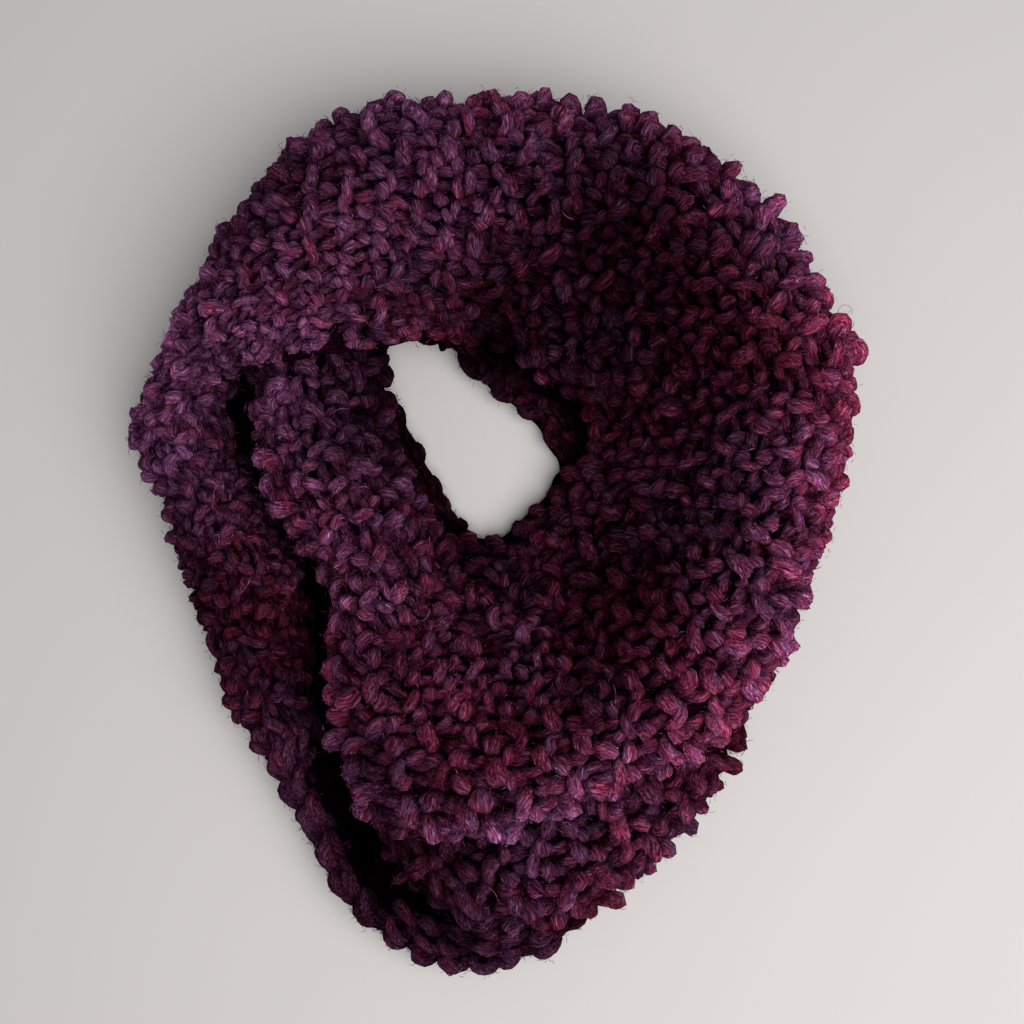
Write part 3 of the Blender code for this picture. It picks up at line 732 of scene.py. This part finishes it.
def dress(piece, fibre, shade, look):
    """Gives a piece the wool of a look, which is a wool and a slot, and what it is coloured by. It rides on
    the body.
    """
    wool, slot = look
    piece.data.materials.append(wool)
    for key, values in (("fibre", fibre), ("shade", shade)):
        data = piece.data.attributes.new(key, "FLOAT_VECTOR", "POINT")
        data.data.foreach_set("vector", np.asarray(values, np.float32).ravel())
    piece.data.shade_smooth()
    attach(piece, "root")
    return piece


def make_piece(name, points, faces, fibre, shade, look):
    """A mesh piece from points in millimetres. Nothing reaches into the floor."""
    points = np.array(points, float)
    points[:, 2] = np.maximum(points[:, 2], FLOOR_CLEAR)
    mesh = bpy.data.meshes.new(name)
    mesh.from_pydata((points * MM).tolist(), [], faces)
    return dress(new_object(name, mesh), fibre, shade, look)


def tube_faces(count, rings, sides):
    """Quads of so many tubes, with rings to a tube and sides to a ring, and faces that close their ends."""
    index = np.arange(count * rings * sides).reshape(count, rings, sides)
    near, far = index[:, :-1], index[:, 1:]
    quads = np.stack([near, np.roll(near, -1, 2), np.roll(far, -1, 2), far], axis=-1).reshape(-1, 4)
    starts = index[:, 0, ::-1].reshape(-1, sides)
    ends = index[:, -1, :].reshape(-1, sides)
    return quads.tolist() + starts.tolist() + ends.tolist()


def round_angles(sides):
    return np.arange(sides) * 2 * math.pi / sides


def around(sides, ups, angles):
    """Directions at angles round a tube, from its two cross directions."""
    return np.cos(angles)[..., None] * sides + np.sin(angles)[..., None] * ups


def ply_form(angle):
    """How thick the yarn is at an angle round it, as a share of its radius: it has two plies."""
    return np.interp(angle, round_angles(YARN_SIDES), PLY_FORM, period=2 * math.pi)


def yarn_piece(name, strand, seed, look):
    """The yarn itself, as one long tube with a groove between its two plies."""
    angles = round_angles(YARN_SIDES)
    turned = angles + strand.run[:, None] * 2 * math.pi / PLY_TURN
    ways = around(strand.sides[:, None], strand.ups[:, None], turned)
    side = np.arange(YARN_SIDES)
    wander = WANDER * np.sin(strand.run[:, None] / WANDER_LENGTH * (1 + 0.07 * side) + 2.1 * side + seed)
    form = ply_form(angles) + wander
    points = (strand.centres[:, None] + (strand.radii[:, None] * form)[..., None] * ways).reshape(-1, 3)
    fibre = np.stack(np.broadcast_arrays(
        YARN * np.cos(angles), YARN * np.sin(angles), strand.run[:, None] + SEED_RUN * seed), axis=-1)
    front = np.einsum("nsk,nk->ns", ways, strand.fronts)
    levels = strand.levels[:, None] + FRONT_LEVEL * front + PLY_LEVEL * (form - 1.0)
    shade = shade_of(points, levels.ravel(), strand.heights, strand.fronts)
    faces = tube_faces(1, len(strand.centres), YARN_SIDES)
    return make_piece(name, points, faces, fibre, shade, look)


# ---- the nap: raised strands and loose fibres

HAIR_SIDES = 3
STREAKS = 4000.0  # each hair takes its colour from anywhere in a space of this size

# How many lie on 100 mm of the yarn, where it is further in front than a level, their lengths and radii, the
# spread of their angle to its front, how deep they start in it, and how much further out they count, so that
# they are painted lighter.
Nap = namedtuple("Nap", "dense level length radius aside sunk raised")
STRANDS = Nap(3.5, -0.2, (5, 11), (0.2, 0.45), 0.75, 0.05, 0.55)
STRAND_PROUD = (0.0, 0.5)
STRAND_TURN = 0.12  # spread of how much a strand turns about the yarn, to a millimetre
STRAND_TAPER = np.array([0.4, 0.9, 1, 0.9, 0.4])
STRAND_STRETCH, STRAND_STREAKS = 1.7, (0.0, 0.7, 1.4)  # its streaks are shorter, and this far apart round it
FUZZ = Nap(60, -0.6, (2.0, 6.0), (0.10, 0.21), 0.9, 0.25, 0.4)
FUZZ_RISE, FUZZ_END = (0.25, 1.5), (-0.2, 1.2)  # of its middle, and of its end as a share of that
FUZZ_LIE, FUZZ_BEND = (0.5, 1.0), 0.14  # how nearly it lies along the yarn's surface, and how bent it is


def on_yarn(strand, run):
    """The yarn's strand, read off at lengths along it."""
    def read(values):
        if values.ndim == 1:
            return np.interp(run, strand.run, values)
        return np.stack([np.interp(run, strand.run, column) for column in values.T], axis=-1)

    return Strand(*(read(values) for values in strand))


def pick_places(strand, nap, rng):
    """Random lengths along the yarn where it stands in front of the cloth, and the angle that faces out."""
    count = int(nap.dense * (strand.run[-1] / 100.0))
    run = rng.uniform(0, strand.run[-1], count * 6)
    here = on_yarn(strand, run)
    kept = np.nonzero(here.levels > nap.level)[0][:count]
    facing = np.arctan2((here.ups * here.fronts).sum(-1), (here.sides * here.fronts).sum(-1))
    return run[kept], facing[kept]


def hairs(lines, ups, radii):
    """Tapered three-sided tubes along lines, an array of (hair, point, xyz)."""
    tangents = unit(np.gradient(lines, axis=1))
    sides = unit(np.cross(tangents, ups))
    over = np.cross(sides, tangents)
    ways = around(sides[:, :, None], over[:, :, None], round_angles(HAIR_SIDES))
    points = lines[:, :, None] + radii[:, :, None, None] * ways
    return points.reshape(-1, 3), tube_faces(len(lines), lines.shape[1], HAIR_SIDES)


def strand_piece(name, strand, seed, look):
    """Strands of the roving that stand a little proud of the yarn and run along it."""
    rng = np.random.default_rng(seed)
    run, facing = pick_places(strand, STRANDS, rng)
    count = len(run)
    t = np.linspace(0, 1, len(STRAND_TAPER))
    length = rng.uniform(*STRANDS.length, count)
    angle = facing + rng.normal(0, STRANDS.aside, count)
    at = run[:, None] + (t - 0.5) * length[:, None]
    turn = length * rng.normal(2 * math.pi / PLY_TURN, STRAND_TURN, count)
    spin = angle[:, None] + (t - 0.5) * turn[:, None]
    here = on_yarn(strand, at)
    out = unit(around(here.sides, here.ups, spin))
    thick = rng.uniform(*STRANDS.radius, count)[:, None] * STRAND_TAPER
    proud = rng.uniform(*STRAND_PROUD, count)[:, None] * np.sin(t * math.pi)
    form = ply_form(spin - at * 2 * math.pi / PLY_TURN)
    lines = here.centres + out * (here.radii * form - STRANDS.sunk + proud)[..., None]
    points, faces = hairs(lines, out, thick)
    streak = np.repeat(rng.uniform(0, STREAKS, count), len(t) * HAIR_SIDES)
    along = np.repeat(at.ravel(), HAIR_SIDES) * STRAND_STRETCH + streak
    aside = np.tile(STRAND_STREAKS, at.size)
    fibre = np.column_stack([aside, aside * 0, along])
    levels = here.levels.ravel() + STRANDS.raised
    shade = shade_of(points, levels, here.heights.ravel(), here.fronts.reshape(-1, 3))
    return make_piece(name, points, faces, fibre, shade, look)


SPINDLE_FACES = np.array([(0, 1, 2), (0, 2, 3), (0, 3, 1), (4, 2, 1), (4, 3, 2), (4, 1, 3)])
SPINDLE_POINTS = 5


def spindles(starts, middles, ends, ups, radii):
    """Thin closed hairs of six faces, each pointed at both ends and bent in the middle."""
    sides = unit(np.cross(unit(ends - starts), ups))
    over = np.cross(sides, unit(ends - starts))
    ways = around(sides[:, None], over[:, None], round_angles(HAIR_SIDES))
    rings = middles[:, None] + radii[:, None, None] * ways
    points = np.concatenate([starts[:, None], rings, ends[:, None]], axis=1)
    faces = SPINDLE_FACES + SPINDLE_POINTS * np.arange(len(starts))[:, None, None]
    return points.reshape(-1, 3), faces.reshape(-1, 3).tolist()


def fuzz_piece(name, strand, seed, look):
    """Short loose fibres that leave the yarn and lie over it every way."""
    rng = np.random.default_rng(seed)
    run, facing = pick_places(strand, FUZZ, rng)
    count = len(run)
    here = on_yarn(strand, run)
    out = unit(around(here.sides, here.ups, facing + rng.normal(0, FUZZ.aside, count)))
    way = rng.normal(size=(count, 3))
    way = unit(way - out * (way * out).sum(1)[:, None] * rng.uniform(*FUZZ_LIE, count)[:, None])
    aside = np.cross(out, way)
    length = rng.uniform(*FUZZ.length, count)[:, None]
    rise = rng.uniform(*FUZZ_RISE, count)[:, None] ** 1.5
    bend = rng.normal(0, FUZZ_BEND, count)[:, None]
    start = here.centres + out * (here.radii - FUZZ.sunk)[:, None]
    middle = start + way * length * 0.5 + out * rise + aside * length * bend
    end = start + way * length + out * rise * rng.uniform(*FUZZ_END, count)[:, None]
    points, faces = spindles(start, middle, end, out, rng.uniform(*FUZZ.radius, count))
    fibre = np.repeat(rng.uniform(0, STREAKS, (count, 3)), SPINDLE_POINTS, axis=0)
    shade = shade_of(points, np.maximum(here.levels, 0.0) + FUZZ.raised, here.heights, here.fronts)
    return make_piece(name, points, faces, fibre, shade, look)


# Pale hairs that have come off the yarn and lie on the scarf: heading and curl in radians.
Stray = namedtuple("Stray", "x y length heading curl")
STRAYS = named(Stray, [
    (166, 104, 16, 0.4, 5.2), (158, 98, 11, 2.2, 1.4), (58, -77, 9, 1.2, 0.8), (60, -80, 6, 2.6, -1.0),
    (-34, -39, 8, 0.3, 1.2), (-132, 17, 9, 1.9, -0.9), (-131, -3, 7, 1.1, 1.1), (-123, -27, 10, 0.6, 0.7),
    (-56, 24, 7, 2.4, 1.5), (-75, 60, 8, 0.9, -1.2), (4, -178, 9, 1.8, 0.6), (8, -171, 7, 0.2, 1.3),
    (-78, 118, 8, 1.4, 1.0), (40, 150, 7, 2.9, -0.8),
])
STRAY_POINTS = 9
STRAY_RADIUS = 0.15
STRAY_TAPER = [(0, 0.4), (0.2, 1), (0.8, 1), (1, 0.4)]
STRAY_NEAR = 8.0  # a hair lies on the highest cloth within this distance of its start
STRAY_LIFT = 8.5  # above the middle of the cloth, so on top of the loops
STRAY_WAVE = 1.2  # up and down
# The pale hairs are shaded as the most raised wool, with its painted highlight, and neutral painted light.
STRAY_SHADE = (1.0, 0.9, 0.5)


def stray_piece(name, look):
    cloth = np.vstack([cloth.points.reshape(-1, 3) for cloth in (MAIN_CLOTH, LOWER_CLOTH)])
    t = np.linspace(0, 1, STRAY_POINTS)
    lines = []
    for stray in STRAYS:
        heading = stray.heading + stray.curl * t
        step = stray.length / (STRAY_POINTS - 1)
        x = stray.x + np.cumsum(np.cos(heading)) * step
        y = stray.y + np.cumsum(np.sin(heading)) * step
        near = np.hypot(cloth[:, 0] - stray.x, cloth[:, 1] - stray.y) < STRAY_NEAR
        height = cloth[near, 2].max() + STRAY_LIFT + STRAY_WAVE * np.sin(3.0 * t + stray.x)
        lines.append(np.column_stack([x, y, height]))
    lines = np.array(lines)
    thick = STRAY_RADIUS * np.ones(len(lines))[:, None] * read_off(STRAY_TAPER, t)
    points, faces = hairs(lines, np.broadcast_to((0.0, 0.0, 1.0), lines.shape), thick)
    return make_piece(name, points, faces, points, np.broadcast_to(STRAY_SHADE, points.shape), look)


# ---- the dark shell between the loops, coloured as painted shade

SHELL_TOP, SHELL_BOTTOM = -1.0, -5.4  # its two faces, from the middle of the cloth
SHELL_ROPE = [(168, -3.0), (172, 1.5), (205, 1.5), (215, SHELL_TOP)]  # bearing, and its top where the rope is
SHELL_EDGE = 3.0  # how far it goes on past the cloth's inner edge
ROLL_EDGE = 0.3  # and past that of a rolled edge
# Painted shade: the shell goes on as a dark sheet into the shade between two layers.
SHELL_COVER = [  # bearing, and how far on the main stretch, level, into the dark between two layers
    (168, 3), (187, 4), (192, 16), (197, 23), (206, 19), (215, 3), (303, 3), (312, 0.5), (342, 0.5),
    (354, 3), (396, 3), (408, 9), (448, 9), (458, 3), (467, 0.5), (491, 0.5), (502, 3), (550, 3), (555, 9),
    (566, 9), (576, 3), (650, 3), (661, 0.5), (680, 0.5),
]
COVER_STEPS = (1.0, 0.6, 0.3)
SHELL_DEG = 2.5
SHELL_ACROSS = 34
SHELL_LUMPS, SHELL_LUMP = soft_noise(31, 9), 0.5
# The shell is painted as dark as the deepest wool: painted shade.
SHELL_LEVEL = -1.0  # it is lit as the deepest wool


def shell_piece(name, cloth, first, last, look):
    """A closed thin sheet under the loops of a stretch, painted dark as the shade between them."""
    bearings = np.linspace(first, last, round((last - first) / SHELL_DEG) + 1)
    share, across = np.meshgrid(np.linspace(0.0, 1.0, SHELL_ACROSS), bearings)
    middle, normal = cloth.at(share, across, np.zeros(share.shape))
    reach = np.full(len(bearings), ROLL_EDGE if cloth.rolled else SHELL_EDGE)
    lift = np.full(len(bearings), SHELL_TOP)
    if cloth.main:
        reach, lift = read_off(SHELL_COVER, bearings), read_off(SHELL_ROPE, bearings)
    inward = place(bearings, 0.0, 0.0) - place(bearings, 1.0, 0.0)
    cover = [middle[:, 0] + inward * (reach * step)[:, None] for step in COVER_STEPS]
    middle = np.concatenate([np.stack(cover, axis=1), middle], axis=1)
    upright = np.broadcast_to((0.0, 0.0, 1.0), (len(bearings), len(cover), 3))
    normal = np.concatenate([upright, normal], axis=1)
    swell = SHELL_LUMP * SHELL_LUMPS(middle)[..., None]
    top = middle + normal * (lift[:, None, None] + swell)
    bottom = middle + normal * (SHELL_BOTTOM + swell)
    rings = np.concatenate([top, bottom[:, ::-1]], axis=1)
    points = rings.reshape(-1, 3)
    heights = np.concatenate([middle, middle[:, ::-1]], axis=1)[:, :, 2].ravel()
    fronts = np.concatenate([normal, normal[:, ::-1]], axis=1).reshape(-1, 3)
    shade = shade_of(points, [SHELL_LEVEL], heights, fronts)
    sides = tube_faces(1, *rings.shape[:2])[:-2]
    piece = make_piece(name, points, sides, points, shade, look)
    mesh = bmesh.new()
    mesh.from_mesh(piece.data)
    bmesh.ops.holes_fill(mesh, edges=[edge for edge in mesh.edges if edge.is_boundary])
    bmesh.ops.recalc_face_normals(mesh, faces=mesh.faces)
    mesh.to_mesh(piece.data)
    mesh.free()
    return piece


# ---- the wool

# The colours of the ramps, and where their stops are. Their palest stops, pink and lilac, are partly the
# fibres' own colour and partly painted sheen.
STREAK_STOPS = (0.33, 0.44, 0.53, 0.62, 0.72)
WINE = [
    (0.006, 0.0004, 0.0016), (0.044, 0.0040, 0.011), (0.120, 0.0150, 0.038), (0.270, 0.048, 0.095),
    (0.450, 0.105, 0.180),
]
PURPLE = [
    (0.005, 0.0007, 0.0040), (0.035, 0.0095, 0.028), (0.090, 0.0300, 0.077), (0.210, 0.088, 0.190),
    (0.370, 0.185, 0.350),
]
# Painted shade and highlight: wool deep in the knit is darkened, and the most raised is lightened past its
# colour.
DEPTH_STOPS = (0.00, 0.30, 0.52, 0.76, 1.00)
DEPTHS = [(0.13, 0.07, 0.12), (0.32, 0.27, 0.32), (0.62, 0.59, 0.62), (1.00, 0.98, 1.00), (1.40, 1.40, 1.40)]
# The light of the shade attribute as a factor: painted light and shade.
LIGHTS = [(0.0,) * 3, (LIGHT_SCALE,) * 3]
PATCH_EDGES = (0.44, 0.56)  # of the noise, between patches where the fibres run one way or the other
HEATHER, HEATHER_OFFSET = 3.0, -1.55  # how much more purple or less the heather makes the wool
STREAK_DEPTH = 0.0026  # in metres
ROUGHNESS = 0.8
MIX_COLOURS = (6, 7)  # the sockets of a mix node that take its colours


def feed(tree, node, inputs):
    """Sets a node's inputs, by name or number, from constants and from other nodes' outputs."""
    for key, value in inputs.items():
        if isinstance(value, bpy.types.NodeSocket):
            tree.links.new(value, node.inputs[key])
        else:
            node.inputs[key].default_value = value


def add(tree, kind, inputs, **settings):
    node = tree.nodes.new(kind)
    for key, value in settings.items():
        setattr(node, key, value)
    feed(tree, node, inputs)
    return node


def ramp(tree, source, stops, colours):
    node = add(tree, "ShaderNodeValToRGB", {"Fac": source})
    elements = node.color_ramp.elements
    for _ in stops[2:]:
        elements.new(0.5)
    for element, position, colour in zip(elements, stops, colours):
        element.position = position
        element.color = (*colour, 1.0)
    return node.outputs["Color"]


def mixed(tree, mode, factor, first, second):
    inputs = {"Factor": factor, MIX_COLOURS[0]: first, MIX_COLOURS[1]: second}
    node = add(tree, "ShaderNodeMix", inputs, data_type="RGBA", blend_type=mode)
    return [socket for socket in node.outputs if socket.type == "RGBA"][0]


def fibre_noise(tree, source, turn, stretch, scale, detail, rough):
    """Noise drawn out along a direction that is turned from the yarn's own."""
    inputs = {"Vector": source, "Rotation": turn, "Scale": (1, 1, stretch)}
    mapping = add(tree, "ShaderNodeMapping", inputs, vector_type="TEXTURE")
    inputs = {"Scale": scale, "Detail": detail, "Roughness": rough, "Distortion": 1.0}
    noise = add(tree, "ShaderNodeTexNoise", {"Vector": mapping.outputs["Vector"], **inputs})
    return noise.outputs["Fac"]


def tangled_streaks(tree, source):
    """Streaks of fibres that run one way or another in patches."""
    one = fibre_noise(tree, source, (0.42, 0.20, 0), 4, 1.0, 5.0, 0.68)
    other = fibre_noise(tree, source, (-0.38, 0.33, 0), 3.4, 1.1, 5.0, 0.68)
    patches = fibre_noise(tree, source, (0, 0, 0), 2, 0.35, 1.0, 0.5)
    inputs = {"From Min": PATCH_EDGES[0], "From Max": PATCH_EDGES[1], "Value": patches}
    choice = add(tree, "ShaderNodeMapRange", inputs)
    inputs = {"Factor": choice.outputs["Result"], "A": one, "B": other}
    return add(tree, "ShaderNodeMix", inputs).outputs["Result"]


def wool_material(name, brightness):
    """Roving of near-black, wine and pink-red fibres that run along the yarn, with painted shade deep in the
    knit and painted light and shade from the shade attribute.
    """
    material = bpy.data.materials.new(name)
    material.use_nodes = True
    tree = material.node_tree
    fibre = add(tree, "ShaderNodeAttribute", {}, attribute_name="fibre").outputs["Vector"]
    shade = add(tree, "ShaderNodeAttribute", {}, attribute_name="shade").outputs["Vector"]
    raised, cool, light = add(tree, "ShaderNodeSeparateXYZ", {"Vector": shade}).outputs
    streaks = tangled_streaks(tree, fibre)
    heather = fibre_noise(tree, fibre, (0, 0, 0), 3.5, 0.45, 3.0, 0.6)
    lean = add(tree, "ShaderNodeMath", {0: heather, 1: HEATHER, 2: HEATHER_OFFSET}, operation="MULTIPLY_ADD")
    blended = add(tree, "ShaderNodeMath", {0: lean.outputs[0], 1: cool}, operation="ADD", use_clamp=True)
    wine, purple = ramp(tree, streaks, STREAK_STOPS, WINE), ramp(tree, streaks, STREAK_STOPS, PURPLE)
    wool = mixed(tree, "MIX", blended.outputs[0], wine, purple)
    # Painted light and shade: the colour is darkened deep in the knit, by the shade attribute's light, and by
    # the copy's brightness.
    painted_shading = [ramp(tree, raised, DEPTH_STOPS, DEPTHS), ramp(tree, light, (0.0, 1.0), LIGHTS)]
    for painted_factor in [*painted_shading, (brightness, brightness, brightness, 1.0)]:
        wool = mixed(tree, "MULTIPLY", 1.0, wool, painted_factor)
    bump = add(tree, "ShaderNodeBump", {"Strength": 1.0, "Distance": STREAK_DEPTH, "Height": streaks})
    shader = tree.nodes["Principled BSDF"]
    feed(tree, shader, {"Base Color": wool, "Roughness": ROUGHNESS, "Specular IOR Level": 0.0})
    feed(tree, shader, {"Normal": bump.outputs["Normal"]})
    return material


def floor_material():
    material = bpy.data.materials.new("pale_floor")
    material.use_nodes = True
    shader = material.node_tree.nodes["Principled BSDF"]
    feed(material.node_tree, shader, {"Base Color": (0.72, 0.70, 0.67, 1), "Roughness": 0.9})
    return material


# ---- the pieces

Stretch = namedtuple("Stretch", "node knit first last slot")
STRETCHES = [  # of the main stretch and the lower one: node, cloth, first and last bearing, slot
    ("lower_turn_left", "main", 168, 283, "knit_lower"),
    ("upper_turn_back", "main", 283, 400, "knit_upper"),
    ("upper_turn_right", "main", 400, 490, "knit_upper"),
    ("upper_turn_front", "main", 490, 579, "knit_upper"),
    ("upper_turn_inner_left", "main", 579, 680, "knit_upper"),
    ("lower_turn_side", "lower", 293, 482, "knit_lower"),
    ("lower_turn_front", "lower", 482, 556, "knit_lower"),
]
ROLLS = [  # the rolled edges: node, cross-sections, length of a row, and the columns that are chained
    ("hole_selvedge_right", ROLL_RIGHT, 9.6, ()),
    ("hole_selvedge_left", ROLL_LEFT, 10.9, (1, 2)),
]
STRAND_SEED, FUZZ_SEED = 50, 90  # over that of the yarn

WELD, SWOLLEN_OVER, HIDDEN_CLEAR = 0.01, 1.0, 0.5  # of the hidden layers, whose underside stays flat
HIDDEN_LUMP, HIDDEN_SWELL = 0.8, 1.0
# The hidden layers are painted as dark as wool deep in the knit: painted shade.
HIDDEN_SHADE_LEVEL = -0.9


def make_hidden_layers(look):
    """The layers underneath, lumpy as knitted cloth is, in place of the frame's rounded solid."""
    piece = new_object("hidden_layers_cloth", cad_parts["hidden_layers"].data.copy())
    piece.data.materials.clear()
    mesh = bmesh.new()
    mesh.from_mesh(piece.data)
    bmesh.ops.remove_doubles(mesh, verts=mesh.verts, dist=WELD * MM)
    bmesh.ops.subdivide_edges(mesh, edges=mesh.edges, cuts=3, use_grid_fill=True)
    mesh.normal_update()
    for vert in mesh.verts:
        if vert.co.z > SWOLLEN_OVER * MM:
            here = np.array(vert.co) / MM
            vert.co += vert.normal * float(SHELL_LUMPS(here) * HIDDEN_LUMP + HIDDEN_SWELL) * MM
            vert.co.z = max(vert.co.z, HIDDEN_CLEAR * MM)
    mesh.to_mesh(piece.data)
    mesh.free()
    points = np.array([vert.co for vert in piece.data.vertices]) / MM
    fronts = np.array([vert.normal for vert in piece.data.vertices])
    # Coloured with painted shade, as the deepest wool.
    dress(piece, points, shade_of(points, [HIDDEN_SHADE_LEVEL], points[:, 2], fronts), look)
    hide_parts("hidden_layers")


def make_stretch(stretch, seed, materials, extra):
    """A stretch of the band: its shell, its yarn, the strands on it and its loose fibres."""
    name, knit, first, last, slot = stretch
    look = (materials[slot], slot)
    strand = lay_yarn(knit, first, last, seed)
    shell = shell_piece(name + "_shade_shell", knit.cloth, first, last, (materials["knit_hidden"], slot))
    yarn = yarn_piece(name + "_yarn", strand, seed, look)
    strands = strand_piece(name + "_strands", strand, seed + STRAND_SEED, look)
    fuzz = fuzz_piece(name + "_fuzz", strand, seed + FUZZ_SEED, look)
    for piece in (shell, yarn, strands, fuzz, *extra):
        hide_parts(name)
    rows = [bearing for bearing in knit.row_bearings if first <= bearing < last]
    width = float(np.mean([knit.cloth.length_at(bearing) for bearing in rows])) * MM


def make_scarf():
    materials = {
        # One wool at several brightnesses, as painted light and shade: the lower turn and the rolled edges a
        # little darker, the shell and the hidden layers much darker. The pale hairs are pale of themselves.
        "knit_upper": wool_material("burgundy_wool", 1.60),
        "knit_lower": wool_material("burgundy_wool_low", 1.46),
        "knit_selvedge": wool_material("burgundy_wool_edge", 1.5),
        "knit_hidden": wool_material("burgundy_wool_painted_shade", 0.75),
        "strays": wool_material("pale_hair", 5.0),
    }
    lower_gauge = [(row.bearing, row.crest_r) for row in LOWER]
    knits = {
        "main": Knit(MAIN_CLOTH, COLUMNS, MAIN_GAUGE, ROW, FITTED, inset=MAIN_INSET, rope_until=ROPE_UNTIL),
        "lower": Knit(LOWER_CLOTH, LOWER_COLUMNS, lower_gauge, ROW),
    }
    stretches = [Stretch(node, knits[cloth], *rest) for node, cloth, *rest in STRETCHES]
    for node, table, row, chained in ROLLS:
        gauge = [(section.bearing, section.inner_r + ROLL_GAUGE) for section in table]
        ends = (table[0].bearing, table[-1].bearing)
        knit = Knit(Cloth(table, ROLL_LUMP), ROLL_COLUMNS, gauge, row, ends, chained)
        stretches.append(Stretch(node, knit, *ends, "knit_selvedge"))
    make_hidden_layers((materials["knit_hidden"], "knit_hidden"))
    strays = stray_piece("upper_turn_right_strays", (materials["strays"], "knit_upper"))
    for seed, stretch in enumerate(stretches, 1):
        make_stretch(stretch, seed, materials, [strays] if stretch.node == "upper_turn_right" else [])


# ---- floor, light and camera

FLOOR_SIZE = 6.0
KEY_PLACE = (0.42, -0.29, 1.0)  # the light comes from the lower right, as the photo's does
KEY_SIZE, KEY_ENERGY, KEY_COLOUR = 1.2, 13.0, (1.0, 0.97, 0.98)
STUDIO_STRENGTH, STUDIO_COLOUR = 0.25, (0.95, 0.96, 1.0, 1)
CAMERA_PLACE = (0.0104, 0.0136, 0.62)
CAMERA_NEAR = 0.01
VIEW_AT_FLOOR = 0.538  # the width of floor that the camera sees


def make_stage():
    bpy.ops.mesh.primitive_plane_add(size=FLOOR_SIZE, location=(0, 0, 0))
    floor = bpy.context.object
    floor.name = "floor"
    floor.data.materials.append(floor_material())
    key = bpy.data.lights.new("key", "AREA")
    key.energy = KEY_ENERGY
    key.size = KEY_SIZE
    key.color = KEY_COLOUR
    lamp = new_object("key", key)
    lamp.location = KEY_PLACE
    lamp.rotation_euler = (-Vector(KEY_PLACE)).to_track_quat("-Z", "Y").to_euler()
    world = bpy.data.worlds.new("studio")
    world.use_nodes = True
    studio = world.node_tree.nodes["Background"]
    feed(world.node_tree, studio, {"Color": STUDIO_COLOUR, "Strength": STUDIO_STRENGTH})
    bpy.context.scene.world = world


def make_camera():
    data = bpy.data.cameras.new("camera")
    data.angle = 2 * math.atan(VIEW_AT_FLOOR / 2 / CAMERA_PLACE[2])
    data.clip_start = CAMERA_NEAR
    camera = new_object("camera", data)
    camera.location = CAMERA_PLACE
    bpy.context.scene.camera = camera


make_camera()
make_stage()
make_scarf()
bpy.context.scene.view_settings.view_transform = "Standard"
